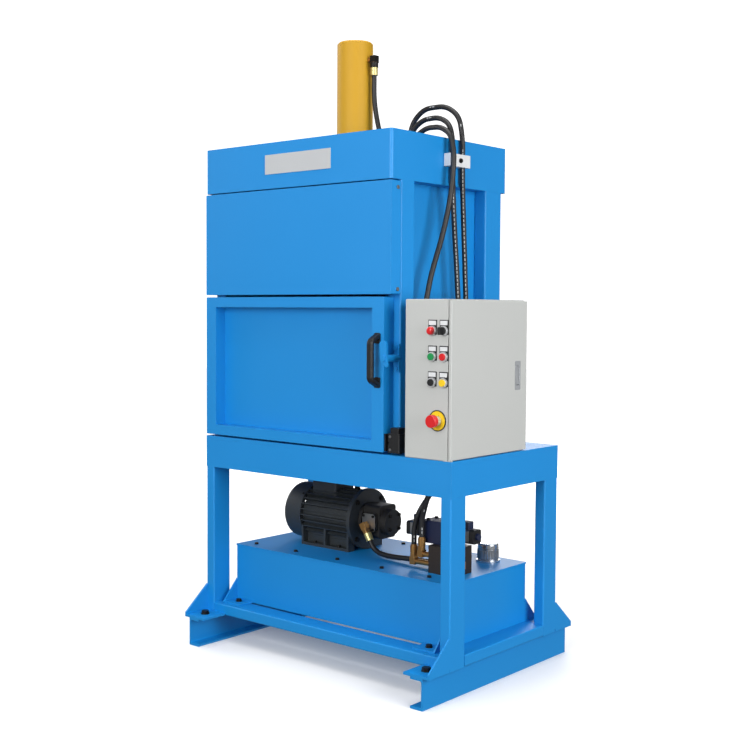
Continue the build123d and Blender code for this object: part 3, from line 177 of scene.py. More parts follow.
class SkinLibrary:
    """Makes each kind of surface once, as a shader node group."""

    def __init__(self) -> None:
        """Starts with no groups made."""
        self._groups: dict[Skin, bpy.types.NodeTree] = {}

    def group(self, skin: Skin) -> bpy.types.NodeTree:
        """Gives the node group of a kind of surface.

        Args:
            skin: The kind of surface.

        Returns:
            A group with the inputs Color, Roughness, Variation and Grain and the outputs
            Color, Roughness and Height.
        """
        if skin not in self._groups:
            self._groups[skin] = self._make(skin)
        return self._groups[skin]

    def _make(self, skin: Skin) -> bpy.types.NodeTree:
        """Builds one group.

        Args:
            skin: The kind of surface.

        Returns:
            The new group.
        """
        cloud_scale, cloud_detail, dull_swing = 4.0, 5.0, 0.12
        stretch = 0.06 if skin is Skin.BRUSHED else 1.0
        grain_detail = 3.0 if skin is Skin.CAST else 1.0
        tree = bpy.data.node_groups.new(f"skin_{skin.value}", "ShaderNodeTree")
        for name, kind in (
            ("Color", "NodeSocketColor"),
            ("Roughness", "NodeSocketFloat"),
            ("Variation", "NodeSocketFloat"),
            ("Grain", "NodeSocketFloat"),
        ):
            tree.interface.new_socket(name, in_out="INPUT", socket_type=kind)
        for name, kind in (
            ("Color", "NodeSocketColor"),
            ("Roughness", "NodeSocketFloat"),
            ("Height", "NodeSocketFloat"),
        ):
            tree.interface.new_socket(name, in_out="OUTPUT", socket_type=kind)
        nodes, links = tree.nodes, tree.links
        entry = nodes.new("NodeGroupInput")
        leave = nodes.new("NodeGroupOutput")
        place = nodes.new("ShaderNodeTexCoord")

        cloud = nodes.new("ShaderNodeTexNoise")
        cloud.inputs["Scale"].default_value = cloud_scale
        cloud.inputs["Detail"].default_value = cloud_detail
        links.new(place.outputs["Object"], cloud.inputs["Vector"])

        grain_place = nodes.new("ShaderNodeMapping")
        grain_place.inputs["Scale"].default_value = (1.0, 1.0, stretch)
        links.new(place.outputs["Object"], grain_place.inputs["Vector"])
        grain = nodes.new("ShaderNodeTexNoise")
        grain.inputs["Detail"].default_value = grain_detail
        links.new(grain_place.outputs["Vector"], grain.inputs["Vector"])
        links.new(entry.outputs["Grain"], grain.inputs["Scale"])

        swing = nodes.new("ShaderNodeMath")
        swing.operation = "SUBTRACT"
        swing.inputs[1].default_value = 0.5
        links.new(cloud.outputs["Fac"], swing.inputs[0])
        share = nodes.new("ShaderNodeMath")
        share.operation = "MULTIPLY_ADD"
        share.inputs[2].default_value = 1.0
        links.new(swing.outputs["Value"], share.inputs[0])
        links.new(entry.outputs["Variation"], share.inputs[1])
        tint = nodes.new("ShaderNodeVectorMath")
        tint.operation = "SCALE"
        links.new(entry.outputs["Color"], tint.inputs[0])
        links.new(share.outputs["Value"], tint.inputs["Scale"])
        links.new(tint.outputs["Vector"], leave.inputs["Color"])

        dull = nodes.new("ShaderNodeMath")
        dull.operation = "MULTIPLY_ADD"
        dull.inputs[1].default_value = dull_swing
        links.new(swing.outputs["Value"], dull.inputs[0])
        links.new(entry.outputs["Roughness"], dull.inputs[2])
        links.new(dull.outputs["Value"], leave.inputs["Roughness"])
        links.new(grain.outputs["Fac"], leave.inputs["Height"])
        return tree


class MaterialShop:
    """Turns finishes into materials, each made once."""

    def __init__(self) -> None:
        """Starts with no materials made."""
        self._skins = SkinLibrary()
        self._made: dict[str, bpy.types.Material] = {}

    def material(self, finish: Finish) -> bpy.types.Material:
        """Gives the material of a finish.

        Args:
            finish: The finish.

        Returns:
            The material.
        """
        if finish.name not in self._made:
            self._made[finish.name] = self._make(finish)
        return self._made[finish.name]

    def _make(self, finish: Finish) -> bpy.types.Material:
        """Builds one material.

        Args:
            finish: The finish.

        Returns:
            The new material.
        """
        material = bpy.data.materials.new(finish.name)
        material.use_nodes = True
        nodes, links = material.node_tree.nodes, material.node_tree.links
        shader = nodes["Principled BSDF"]
        shader.inputs["Metallic"].default_value = finish.metallic
        shader.inputs["Coat Weight"].default_value = finish.coat
        skin = nodes.new("ShaderNodeGroup")
        skin.node_tree = self._skins.group(finish.skin)
        skin.inputs["Color"].default_value = (*finish.color, 1.0)
        skin.inputs["Roughness"].default_value = finish.roughness
        skin.inputs["Variation"].default_value = finish.variation
        skin.inputs["Grain"].default_value = finish.grain
        soft_edge = nodes.new("ShaderNodeBevel")
        soft_edge.samples = 4
        soft_edge.inputs["Radius"].default_value = finish.edge
        bump = nodes.new("ShaderNodeBump")
        bump.inputs["Distance"].default_value = finish.bump
        links.new(skin.outputs["Color"], shader.inputs["Base Color"])
        links.new(skin.outputs["Roughness"], shader.inputs["Roughness"])
        links.new(skin.outputs["Height"], bump.inputs["Height"])
        links.new(soft_edge.outputs["Normal"], bump.inputs["Normal"])
        links.new(bump.outputs["Normal"], shader.inputs["Normal"])
        return material


@dataclass
class Pile:
    """Small solids of one finish that become one piece.

    Attributes:
        name: The piece's name.
        finish: Its finish.
        body: The CAD body it rides on.
        mesh: The solids so far.
    """

    name: str
    finish: Finish
    body: str = "frame"
    mesh: bmesh.types.BMesh = field(default_factory=bmesh.new)

    def prism(
        self, foot: Sequence[float], axis: Vector, radius: float, height: float, sides: int = 28
    ) -> None:
        """Adds a round or many-sided post.

        Args:
            foot: Middle of its foot.
            axis: The way it stands.
            radius: Its radius, to the corners.
            height: Its height.
            sides: How many sides it has.
        """
        turn = axis.to_track_quat("Z", "Y").to_matrix().to_4x4()
        place = Matrix.Translation(Vector(foot) + axis * height / 2) @ turn
        bmesh.ops.create_cone(
            self.mesh, cap_ends=True, segments=sides, radius1=radius, radius2=radius, depth=height,
            matrix=place,
        )

    def ring(self, foot: Sequence[float], axis: Vector, radius: float, bore: float, height: float) -> None:
        """Adds a flat ring.

        Args:
            foot: Middle of its foot.
            axis: The way it stands.
            radius: Its outer radius.
            bore: Its inner radius.
            height: Its height.
        """
        turn = axis.to_track_quat("Z", "Y").to_matrix()
        sides = 40
        loops = []
        for reach, rise in ((bore, 0.0), (radius, 0.0), (radius, height), (bore, height)):
            loop = []
            for step in range(sides):
                angle = 2 * math.pi * step / sides
                spot = Vector((reach * math.cos(angle), reach * math.sin(angle), rise))
                loop.append(self.mesh.verts.new(Vector(foot) + turn @ spot))
            loops.append(loop)
        for one, two in zip(loops, loops[1:] + loops[:1]):
            for step in range(sides):
                after = (step + 1) % sides
                self.mesh.faces.new((one[step], one[after], two[after], two[step]))

    def torus(self, middle: Sequence[float], axis: Vector, radius: float, thickness: float) -> None:
        """Adds a round ring of round section.

        Args:
            middle: Its middle.
            axis: The way its hole looks.
            radius: Radius of the section's path.
            thickness: Diameter of the section.
        """
        turn = axis.to_track_quat("Z", "Y").to_matrix()
        around, across = 32, 12
        loops = []
        for step in range(around):
            angle = 2 * math.pi * step / around
            out = Vector((math.cos(angle), math.sin(angle), 0.0))
            loop = []
            for part in range(across):
                tilt = 2 * math.pi * part / across
                spot = out * (radius + math.cos(tilt) * thickness / 2) + UP * math.sin(tilt) * thickness / 2
                loop.append(self.mesh.verts.new(Vector(middle) + turn @ spot))
            loops.append(loop)
        for one, two in zip(loops, loops[1:] + loops[:1]):
            for part in range(across):
                after = (part + 1) % across
                self.mesh.faces.new((one[part], two[part], two[after], one[after]))

    def bar(
        self, middle: Sequence[float], axis: Vector, size: tuple[float, float], length: float, corner: float
    ) -> None:
        """Adds a bar with a rounded square section.

        Args:
            middle: Its middle.
            axis: The way it runs.
            size: Width and height of its section.
            length: Its length.
            corner: Radius of the section's corners.
        """
        turn = axis.to_track_quat("Z", "Y").to_matrix()
        steps = 6
        ends = []
        for rise in (-length / 2, length / 2):
            loop = []
            for quarter, (x, y) in enumerate(((1, 1), (-1, 1), (-1, -1), (1, -1))):
                for step in range(steps + 1):
                    angle = math.pi / 2 * (quarter + step / steps)
                    spot = Vector((
                        x * (size[0] / 2 - corner) + corner * math.cos(angle),
                        y * (size[1] / 2 - corner) + corner * math.sin(angle),
                        rise,
                    ))
                    loop.append(self.mesh.verts.new(Vector(middle) + turn @ spot))
            ends.append(loop)
        count = len(ends[0])
        for step in range(count):
            after = (step + 1) % count
            self.mesh.faces.new((ends[0][step], ends[0][after], ends[1][after], ends[1][step]))
        self.mesh.faces.new(ends[1])
        self.mesh.faces.new(list(reversed(ends[0])))

    def box(self, low: Sequence[float], high: Sequence[float]) -> None:
        """Adds a block.

        Args:
            low: Its lowest corner.
            high: Its highest corner.
        """
        middle = (Vector(low) + Vector(high)) / 2
        size = Vector(high) - Vector(low)
        place = Matrix.Translation(middle) @ Matrix.Diagonal((*size, 1.0))
        bmesh.ops.create_cube(self.mesh, size=1.0, matrix=place)

    def bolt(self, foot: Sequence[float], axis: Vector, thread: float, washer: bool = True) -> None:
        """Adds a hexagon bolt head, with a washer under it.

        Args:
            foot: Middle of the face that it clamps.
            axis: The way the head stands.
            thread: The thread's diameter.
            washer: Whether it has a washer.
        """
        washer_share, head_radius_share, head_share = 0.16, 0.87, 0.62
        rise = Vector(foot)
        if washer:
            self.prism(rise, axis, thread, thread * washer_share)
            rise = rise + axis * thread * washer_share
        self.prism(rise, axis, thread * head_radius_share, thread * head_share, sides=6)

    def cap_screw(self, foot: Sequence[float], axis: Vector, thread: float) -> None:
        """Adds a round screw head.

        Args:
            foot: Middle of the face that it clamps.
            axis: The way the head stands.
            thread: The thread's diameter.
        """
        radius_share, height_share = 0.8, 0.7
        self.prism(foot, axis, thread * radius_share, thread * height_share, sides=20)

    def build(self, shop: MaterialShop) -> bpy.types.Object:
        """Makes the piece.

        Args:
            shop: Where its material comes from.

        Returns:
            The piece.
        """
        bmesh.ops.recalc_face_normals(self.mesh, faces=self.mesh.faces)
        data = bpy.data.meshes.new(self.name)
        self.mesh.to_mesh(data)
        self.mesh.free()
        data.shade_smooth()
        data.set_sharp_from_angle(angle=math.radians(35))
        data.materials.append(shop.material(self.finish))
        piece = bpy.data.objects.new(self.name, data)
        bpy.context.scene.collection.objects.link(piece)
        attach(piece, self.body)
        return piece


@dataclass(frozen=True)
class Hose:
    """A hose held by a fitting at both ends.

    Attributes:
        name: The piece's name.
        node: The CAD node that it stands for.
        points: Corners of its route in metres.
        diameter: Its outer diameter.
        printed: Whether it carries a line of print marks.
    """

    name: str
    node: str
    points: tuple[Point, ...]
    diameter: float = 0.018
    printed: bool = True

    def route(self) -> list[Vector]:
        """Rounds the route's corners with arcs.

        Returns:
            Points along the middle of the hose.
        """
        arc_share = 0.45
        steps = 10
        corners = [Vector(point) for point in self.points]
        line = [corners[0]]
        for before, corner, after in zip(corners, corners[1:], corners[2:]):
            into, out = (corner - before), (after - corner)
            reach = arc_share * min(into.length, out.length)
            into.normalize()
            out.normalize()
            turn = into.angle(out)
            if turn < 1e-4:
                line.append(corner)
                continue
            radius = reach / math.tan(turn / 2)
            center = corner + (out - into).normalized() * radius / math.cos(turn / 2)
            spoke = corner - into * reach - center
            axis = into.cross(out).normalized()
            for step in range(steps + 1):
                line.append(center + Matrix.Rotation(turn * step / steps, 3, axis) @ spoke)
        line.append(corners[-1])
        return line

    def build(self, shop: MaterialShop) -> bpy.types.Object:
        """Args:
            shop: Where its material comes from.

        Returns:
            The hose.
        """
        line = self.route()
        data = bpy.data.curves.new(self.name, "CURVE")
        data.dimensions = "3D"
        data.bevel_depth = self.diameter / 2
        data.bevel_resolution = 5
        spline = data.splines.new("POLY")
        spline.points.add(len(line) - 1)
        for spot, place in zip(spline.points, line):
            spot.co = (*place, 1.0)
        data.materials.append(shop.material(RUBBER))
        piece = bpy.data.objects.new(self.name, data)
        bpy.context.scene.collection.objects.link(piece)
        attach(piece, "frame")
        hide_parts(self.node)
        return piece

    def marks(self, pile: Pile, face: Vector) -> None:
        """Adds a broken line of plain marks along the hose.

        Args:
            pile: Where the marks go.
            face: The side of the hose that carries them.
        """
        pitch, mark, half, lift = 0.0125, 0.0085, 0.0014, 0.0001
        travelled = 0.0
        next_mark = pitch
        proud = self.diameter / 2 + lift
        line = self.route()
        for one, two in zip(line, line[1:]):
            run = two - one
            way = run.normalized()
            side = (face - way * face.dot(way)).normalized()
            across = way.cross(side) * half
            while next_mark + mark <= travelled + run.length:
                start = one + way * max(next_mark - travelled, 0.0) + side * proud
                end = start + way * mark
                corners = (start - across, start + across, end + across, end - across)
                pile.mesh.faces.new([pile.mesh.verts.new(corner) for corner in corners])
                next_mark += pitch
            travelled += run.length
            next_mark = max(next_mark, travelled)


HOSES = (
    Hose(
        "ram_hose",
        "cylinder_hose",
        (
            (-0.022, 0.013, 2.052), (-0.022, 0.013, 1.968), (-0.006, 0.011, 1.890), (0.024, 0.004, 1.812),
            (0.040, 0.002, 1.762), (0.040, 0.002, 1.714),
        ),
        printed=False,
    ),
    Hose(
        "outer_hose",
        "feed_hoses",
        (
            (0.095, 0.062, 1.714), (0.095, 0.062, 1.790), (0.112, 0.062, 1.876), (0.166, 0.060, 1.920),
            (0.262, 0.058, 1.920), (0.322, 0.054, 1.880), (0.340, 0.051, 1.800), (0.340, 0.051, 1.660),
            (0.341, 0.060, 1.500), (0.340, 0.072, 1.340), (0.343, 0.078, 1.180), (0.347, 0.070, 1.040),
            (0.352, 0.048, 0.900), (0.356, 0.016, 0.780), (0.350, -0.030, 0.690), (0.326, -0.078, 0.620),
            (0.286, -0.108, 0.540), (0.268, -0.108, 0.486), (0.268, -0.108, 0.431),
        ),
    ),
    Hose(
        "middle_hose",
        "feed_hoses",
        (
            (0.120, 0.032, 1.714), (0.120, 0.032, 1.780), (0.142, 0.030, 1.848), (0.190, 0.026, 1.876),
            (0.266, 0.016, 1.876), (0.322, 0.002, 1.846), (0.340, -0.005, 1.786), (0.340, -0.005, 1.660),
            (0.341, 0.006, 1.500), (0.341, 0.024, 1.340), (0.343, 0.034, 1.190), (0.346, 0.026, 1.050),
            (0.350, 0.000, 0.910), (0.352, -0.042, 0.790), (0.350, -0.080, 0.700), (0.330, -0.120, 0.590),
            (0.304, -0.112, 0.520), (0.304, -0.112, 0.461),
        ),
    ),
    Hose(
        "inner_hose",
        "feed_hoses",
        (
            (0.150, 0.008, 1.714), (0.150, 0.008, 1.768), (0.172, 0.006, 1.818), (0.222, 0.002, 1.842),
            (0.300, -0.020, 1.836), (0.350, -0.030, 1.806), (0.368, -0.034, 1.738), (0.364, -0.042, 1.610),
            (0.352, -0.072, 1.470), (0.344, -0.124, 1.340), (0.342, -0.158, 1.210), (0.346, -0.164, 1.070),
            (0.352, -0.148, 0.930), (0.360, -0.112, 0.800), (0.376, -0.096, 0.700), (0.420, -0.102, 0.622),
            (0.466, -0.110, 0.545), (0.466, -0.110, 0.443),
        ),
        printed=False,
    ),
    Hose(
        "pressure_hose",
        "pump_hose",
        (
            (0.020, -0.045, 0.4002), (0.034, -0.045, 0.376), (0.062, -0.047, 0.362), (0.110, -0.055, 0.359),
            (0.170, -0.061, 0.362), (0.230, -0.060, 0.366), (0.294, -0.060, 0.366),
        ),
        printed=False,
    ),
)


class NodeDresser:
    """Gives every CAD node its finish."""

    def __init__(self, shop: MaterialShop) -> None:
        """Keeps the shop.

        Args:
            shop: Where the materials come from.
        """
        self._shop = shop

    def dress(self) -> None:
        """Assigns the finishes: blue paint wherever no other finish is named."""
        named = {node: finish for finish, nodes in NODE_FINISHES.items() for node in nodes}
        for name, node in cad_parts.items():
            material = self._shop.material(named.get(name, BLUE))
            if not node.material_slots:
                node.data.materials.append(material)
            for slot in node.material_slots:
                slot.material = material


@dataclass
class Fasteners:
    """Bolts and screws of the stand, the tank, the press and the power unit."""

    shop: MaterialShop

    def build(self) -> None:
        """Makes all the fasteners."""
        self._stand()
        self._press()
        self._power_unit()

    def _stand(self) -> None:
        """Bolts of the feet, of the tank's brackets and of its lid."""
        pile = Pile("stand_bolts", OXIDE)
        foot_thickness, foot_width, foot_length = 0.008, 0.100, 0.105
        foot_thread, bracket_thread, lid_thread = 0.016, 0.012, 0.008
        skid_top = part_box("skid_left")[1][2]
        for node, side, end in (
            ("leg_front_left", 0, 0), ("leg_front_right", 1, 0),
            ("leg_rear_left", 0, 1), ("leg_rear_right", 1, 1),
        ):
            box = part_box(node)
            x = box[side][0] + (foot_width / 2 if side == 0 else -foot_width / 2)
            y = box[end][1] + (foot_length / 2 if end == 0 else -foot_length / 2)
            pile.bolt((x, y, skid_top + foot_thickness), UP, foot_thread)
        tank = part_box("oil_tank")
        bracket_thickness, bracket_inset, bracket_length = 0.006, 0.048, 0.066
        for x in (tank[0][0] + bracket_inset, tank[1][0] - bracket_inset):
            for y in (tank[0][1] + bracket_length / 2, tank[1][1] - bracket_length / 2):
                pile.bolt((x, y, tank[0][2] + bracket_thickness), UP, bracket_thread)
        pile.build(self.shop)
        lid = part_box("tank_lid")
        heads = Pile("lid_screws", OXIDE)
        inset, first, ends, count = 0.045, 0.065, 0.175, 5
        for step in range(count):
            x = lid[0][0] + first + step * (lid[1][0] - lid[0][0] - ends) / (count - 1)
            for y in (lid[0][1] + inset, lid[1][1] - inset):
                heads.bolt((x, y, lid[1][2]), UP, lid_thread)
        heads.build(self.shop)

    def _press(self) -> None:
        """Screws of the upper cover and bolts of the cylinder's flange."""
        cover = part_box("upper_cover")
        screws = Pile("cover_screws", STEEL)
        behind, below, above = 0.032, 0.022, 0.016
        radius, proud = 0.0065, 0.003
        y = cover[0][1] + behind
        for z in (cover[1][2] - below, cover[0][2] + above):
            screws.prism((cover[1][0], y, z), RIGHT, radius, proud, sides=20)
            screws.prism((cover[0][0], y, z), -RIGHT, radius, proud, sides=20)
        screws.build(self.shop)
        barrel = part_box("cylinder_barrel")
        middle = (Vector(barrel[0]) + Vector(barrel[1])) / 2
        plate_rise, flange_thickness, flange_circle, flange_thread, count = 0.030, 0.024, 0.083, 0.012, 8
        flange_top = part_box("crown")[0][2] + plate_rise + flange_thickness
        bolts = Pile("flange_bolts", OXIDE)
        for step in range(count):
            angle = 2 * math.pi * (step + 0.5) / count
            x = middle.x + flange_circle * math.cos(angle)
            y = middle.y + flange_circle * math.sin(angle)
            bolts.bolt((x, y, flange_top), UP, flange_thread)
        bolts.build(self.shop)

    def _power_unit(self) -> None:
        """Screws of the motor's flange and feet, the valve and the clamp."""
        pile = Pile("power_screws", OXIDE)
        flange_circle, flange_thread = 0.095, 0.010
        foot_thickness, foot_side, foot_left, foot_right = 0.010, 0.082, 0.055, 0.075
        small_thread, valve_height, valve_half, valve_inset = 0.008, 0.076, 0.045, 0.012
        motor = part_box("motor_frame")
        axis = (Vector(motor[0]) + Vector(motor[1])) / 2
        axis.z = motor[0][2] + MOTOR_AXIS_HEIGHT
        for step in range(4):
            angle = math.pi * (step + 0.5) / 2
            y = axis.y + flange_circle * math.cos(angle)
            z = axis.z + flange_circle * math.sin(angle)
            pile.bolt((motor[1][0], y, z), RIGHT, flange_thread)
        lid_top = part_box("tank_lid")[1][2]
        for x in (motor[0][0] + foot_left, motor[1][0] - foot_right):
            for y in (axis.y - foot_side, axis.y + foot_side):
                pile.bolt((x, y, lid_top + foot_thickness), UP, small_thread)
        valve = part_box("directional_valve")
        valve_x = (valve[0][0] + valve[1][0]) / 2
        valve_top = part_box("manifold")[1][2] + valve_height
        for x in (valve_x - valve_half, valve_x + valve_half):
            for y in (valve[0][1] + valve_inset, valve[1][1] - valve_inset):
                pile.cap_screw((x, y, valve_top), UP, small_thread)
        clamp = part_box("hose_clamp")
        clamp_middle = (Vector(clamp[0]) + Vector(clamp[1])) / 2
        pile.bolt((clamp[1][0], clamp_middle.y, clamp_middle.z), RIGHT, small_thread)
        pile.build(self.shop)


@dataclass
class PowerTrim:
    """Bands, shells, ribs, the lifting eye and the air baffle of the power unit, and trim on hose ends."""

    shop: MaterialShop

    def build(self) -> None:
        """Makes the trim of the power unit and of the hose ends."""
        self._pump()
        self._coils()
        self._sleeves()
        self._motor()
        self._breather()

    def _pump(self) -> None:
        """A machined face on the pump's port block and the bolts of its end cover."""
        low, high = (Vector(corner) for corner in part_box("pump"))
        port_thickness, port_from_left, port_half, port_corner = 0.012, 0.051, (0.030, 0.032), 0.012
        thin, screw_x, screw_z, face_thread = 0.0015, 0.022, 0.024, 0.006
        end_circle, end_thread = 0.035, 0.008
        axis_y, axis_z = (low.y + port_thickness + high.y) / 2, (low.z + high.z) / 2
        port_middle = low.x + port_from_left
        face = Pile("pump_port_face", STEEL)
        port = (port_middle, low.y - thin / 2, axis_z)
        face.bar(port, FORWARD, (2 * port_half[0], 2 * port_half[1]), thin, port_corner)
        face.build(self.shop)
        screws = Pile("pump_screws", OXIDE)
        for x in (port_middle - screw_x, port_middle + screw_x):
            for z in (axis_z - screw_z, axis_z + screw_z):
                screws.cap_screw((x, low.y - thin, z), FORWARD, face_thread)
        for step in range(4):
            angle = math.pi * (step + 0.5) / 2
            y = axis_y + end_circle * math.cos(angle)
            z = axis_z + end_circle * math.sin(angle)
            screws.cap_screw((high.x, y, z), RIGHT, end_thread)
        screws.build(self.shop)

    def _coils(self) -> None:
        """Bright bands and black shells round the valve's coils."""
        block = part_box("manifold")
        valve_inset, valve_rise, valve_before, valve_past = 0.035, 0.038, 0.048, 0.074
        side, band_reach, band_length, band_corner = 0.0472, 0.046, 0.030, 0.0085
        shell_step, shell_reach, shell_length, shell_corner = 0.0006, 0.040, 0.0764, 0.0082
        shell_side = side - shell_step
        y, z = block[1][1] - valve_inset, block[1][2] + valve_rise
        valve_left, valve_right = block[0][0] - valve_before, block[0][0] + valve_past
        bands = Pile("coil_bands", STEEL)
        for x in (valve_left - band_reach, valve_right + band_reach):
            bands.bar((x, y, z), RIGHT, (side, side), band_length, band_corner)
        bands.build(self.shop)
        coils = Pile("coil_shells", BLACK)
        for x in (valve_left - shell_reach, valve_right + shell_reach):
            coils.bar((x, y, z), RIGHT, (shell_side, shell_side), shell_length, shell_corner)
        coils.build(self.shop)

    def _sleeves(self) -> None:
        """Zinc sleeves on the ferrules at the ram and at the pump, and the black elbow at the ram."""
        sleeve_length, sleeve_radius, sleeve_bore = 0.028, 0.0134, 0.0092
        elbow_rise, nut_drop, nut_radius, nut_bore, nut_height = 0.057, 0.030, 0.0146, 0.0112, 0.018
        sleeves = Pile("zinc_sleeves", ZINC)
        for hose in HOSES:
            if hose.node == "feed_hoses":
                continue
            end = Vector(hose.points[0])
            way = (Vector(hose.points[1]) - end).normalized()
            sleeves.ring(end - way * sleeve_length, way, sleeve_radius, sleeve_bore, sleeve_length)
        sleeves.build(self.shop)
        corner = Vector(HOSES[0].points[0]) + UP * elbow_rise
        elbow_half = Vector((0.0116, 0.0116, 0.0120))
        elbow = Pile("ram_elbow", OXIDE)
        elbow.box(corner - elbow_half, corner + elbow_half)
        elbow.ring(corner - UP * nut_drop, UP, nut_radius, nut_bore, nut_height)
        elbow.build(self.shop)

    def _motor(self) -> None:
        """The lifting eye, the air baffle in the fan cover and the screws of box and cover."""
        low, high = (Vector(corner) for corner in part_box("motor_frame"))
        axis_y, axis_z = (low.y + high.y) / 2, low.z + MOTOR_AXIS_HEIGHT
        eye_from_right, eye_out, eye_radius, eye_thickness = 0.056, 0.100, 0.014, 0.008
        collar_radius, collar_height, eye_rise = 0.011, 0.008, 0.022
        eye = Pile("lifting_eye", OXIDE)
        foot = Vector((high.x - eye_from_right, axis_y, axis_z + eye_out))
        eye.prism(foot, UP, collar_radius, collar_height)
        eye.torus(foot + UP * eye_rise, RIGHT, eye_radius, eye_thickness)
        eye.build(self.shop)
        baffle_out, baffle_radius, baffle_bore, baffle_thickness = 0.005, 0.1012, 0.0875, 0.004
        baffle = Pile("air_baffle", MOTOR)
        baffle_foot = (low.x - baffle_out, axis_y, axis_z)
        baffle.ring(baffle_foot, RIGHT, baffle_radius, baffle_bore, baffle_thickness)
        baffle.build(self.shop)
        screws = Pile("motor_screws", OXIDE)
        box_offset, box_length, box_half, box_inset = 0.014, 0.118, 0.044, 0.008
        box_radius, cover_radius, proud, cover_back, cover_out = 0.004, 0.0045, 0.002, 0.010, 0.1035
        box_left = low.x + box_offset
        for x in (box_left + box_inset, box_left + box_length - box_inset):
            for y in (axis_y - box_half, axis_y + box_half):
                screws.prism((x, y, high.z), UP, box_radius, proud, sides=20)
        for step in range(4):
            angle = math.pi * (step + 0.5) / 2
            out = Vector((0.0, math.cos(angle), math.sin(angle)))
            foot = Vector((low.x - cover_back, axis_y, axis_z)) + out * cover_out
            screws.prism(foot, out, cover_radius, proud, sides=20)
        screws.build(self.shop)

    def _breather(self) -> None:
        """Grip ribs round the breather's cap."""
        low, high = (Vector(corner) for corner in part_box("breather_cap"))
        middle = (low + high) / 2
        radius, count = (high.x - low.x) / 2, 40
        rib_middle, rib_height, rib_radius, rim_thickness = 0.021, 0.030, 0.0017, 0.0028
        rim_rises = (0.041, 0.004)
        ribs = Pile("breather_ribs", STEEL, body="cap")
        for step in range(count):
            angle = 2 * math.pi * step / count
            out = Vector((math.cos(angle), math.sin(angle), 0.0))
            spot = Vector((middle.x, middle.y, low.z + rib_middle)) + out * radius
            ribs.prism(spot - UP * rib_height / 2, UP, rib_radius, rib_height, sides=8)
        for rise in rim_rises:
            ribs.torus((middle.x, middle.y, low.z + rise), UP, radius, rim_thickness)
        ribs.build(self.shop)


@dataclass
class ControlTrim:
    """Legend plates, the emergency stop's disc, the blank plate and the door's small screws."""

    shop: MaterialShop

    def build(self) -> None:
        """Makes the cabinet's trim, the blank plate and the screws at the latch."""
        self._legends()
        self._blank_plate()
        self._latch_screws()

    def _legends(self) -> None:
        """Plain legend holders above the six collars and the disc round the stop."""
        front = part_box("cabinet_body")[0][1]
        holder, insert = Pile("legend_holders", BLACK), Pile("legend_inserts", WHITE)
        thin, half, drop, rise = 0.0016, 0.0165, 0.012, 0.034
        edge, insert_foot = 0.003, 0.0175
        disc_radius, disc_bore, disc_thickness = 0.030, 0.0152, 0.002
        rim_radius, rim_thickness = 0.033, 0.0026
        for node in (
            "pilot_lamp", "selector_knob", "green_button", "red_button", "black_button", "yellow_button",
        ):
            low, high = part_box(node)
            x, z = (low[0] + high[0]) / 2, (low[2] + high[2]) / 2
            holder.box((x - half, front - thin, z - drop), (x + half, front, z + rise))
            insert.box(
                (x - half + edge, front - 2 * thin, z + insert_foot),
                (x + half - edge, front - thin, z + rise - edge),
            )
        holder.build(self.shop)
        insert.build(self.shop)
        low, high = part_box("estop_button")
        x, z = (low[0] + high[0]) / 2, (low[2] + high[2]) / 2
        disc = Pile("estop_disc", AMBER)
        disc.ring((x, front, z), FORWARD, disc_radius, disc_bore, disc_thickness)
        disc.build(self.shop)
        rim = Pile("estop_rim", BLACK)
        rim.ring((x, front, z), FORWARD, rim_radius, disc_radius, rim_thickness)
        rim.build(self.shop)

    def _blank_plate(self) -> None:
        """A blank plate on the crown's front."""
        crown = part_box("crown")
        left, right, low, high, thin = 0.307, 0.615, 0.050, 0.117, 0.0015
        plate = Pile("blank_plate", PLATE)
        plate.box(
            (crown[0][0] + left, crown[0][1] - thin, crown[0][2] + low),
            (crown[0][0] + right, crown[0][1], crown[0][2] + high),
        )
        plate.build(self.shop)

    def _latch_screws(self) -> None:
        """Screws of the latch bracket and of the interlock's key and switch."""
        end_inset, bracket_thickness, bracket_thread = 0.010, 0.006, 0.008
        radius, proud, key_thickness = 0.0045, 0.002, 0.005
        switch_side, switch_upper = 0.012, 0.052
        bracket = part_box("latch_bracket")
        x = (bracket[0][0] + bracket[1][0]) / 2
        screws = Pile("bracket_screws", BLUE)
        for z in (bracket[0][2] + end_inset, bracket[1][2] - end_inset):
            screws.bolt((x, bracket[1][1] - bracket_thickness, z), FORWARD, bracket_thread, washer=False)
        screws.build(self.shop)
        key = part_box("interlock_key")
        plate_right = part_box("door_frame")[1][0] + key_thickness
        dots = Pile("key_screws", STEEL, body="door")
        key_y = (key[0][1] + key[1][1]) / 2
        for z in (key[0][2] + end_inset, key[1][2] - end_inset):
            dots.prism((plate_right, key_y, z), RIGHT, radius, proud, sides=20)
        dots.build(self.shop)
        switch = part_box("interlock_switch")
        pins = Pile("switch_screws", STEEL)
        for z in (switch[0][2] + end_inset, switch[0][2] + switch_upper):
            pins.prism((switch[0][0] + switch_side, switch[0][1], z), FORWARD, radius, proud, sides=20)
        pins.build(self.shop)


@dataclass(frozen=True)
class SoftBox:
    """One square lamp of the studio.

    Attributes:
        name: Its name.
        place: Where it hangs.
        target: What it faces.
        power: Its power in watts.
        size: Its width in metres.
    """

    name: str
    place: Point
    target: Point
    power: float
    size: float = 2.6

    def hang(self) -> None:
        """Adds the lamp to the scene."""
        data = bpy.data.lights.new(self.name, "AREA")
        data.size = self.size
        data.energy = self.power
        lamp = bpy.data.objects.new(self.name, data)
        lamp.location = self.place
        way = Vector(self.target) - Vector(self.place)
        lamp.rotation_euler = way.to_track_quat("-Z", "Y").to_euler()
        bpy.context.scene.collection.objects.link(lamp)


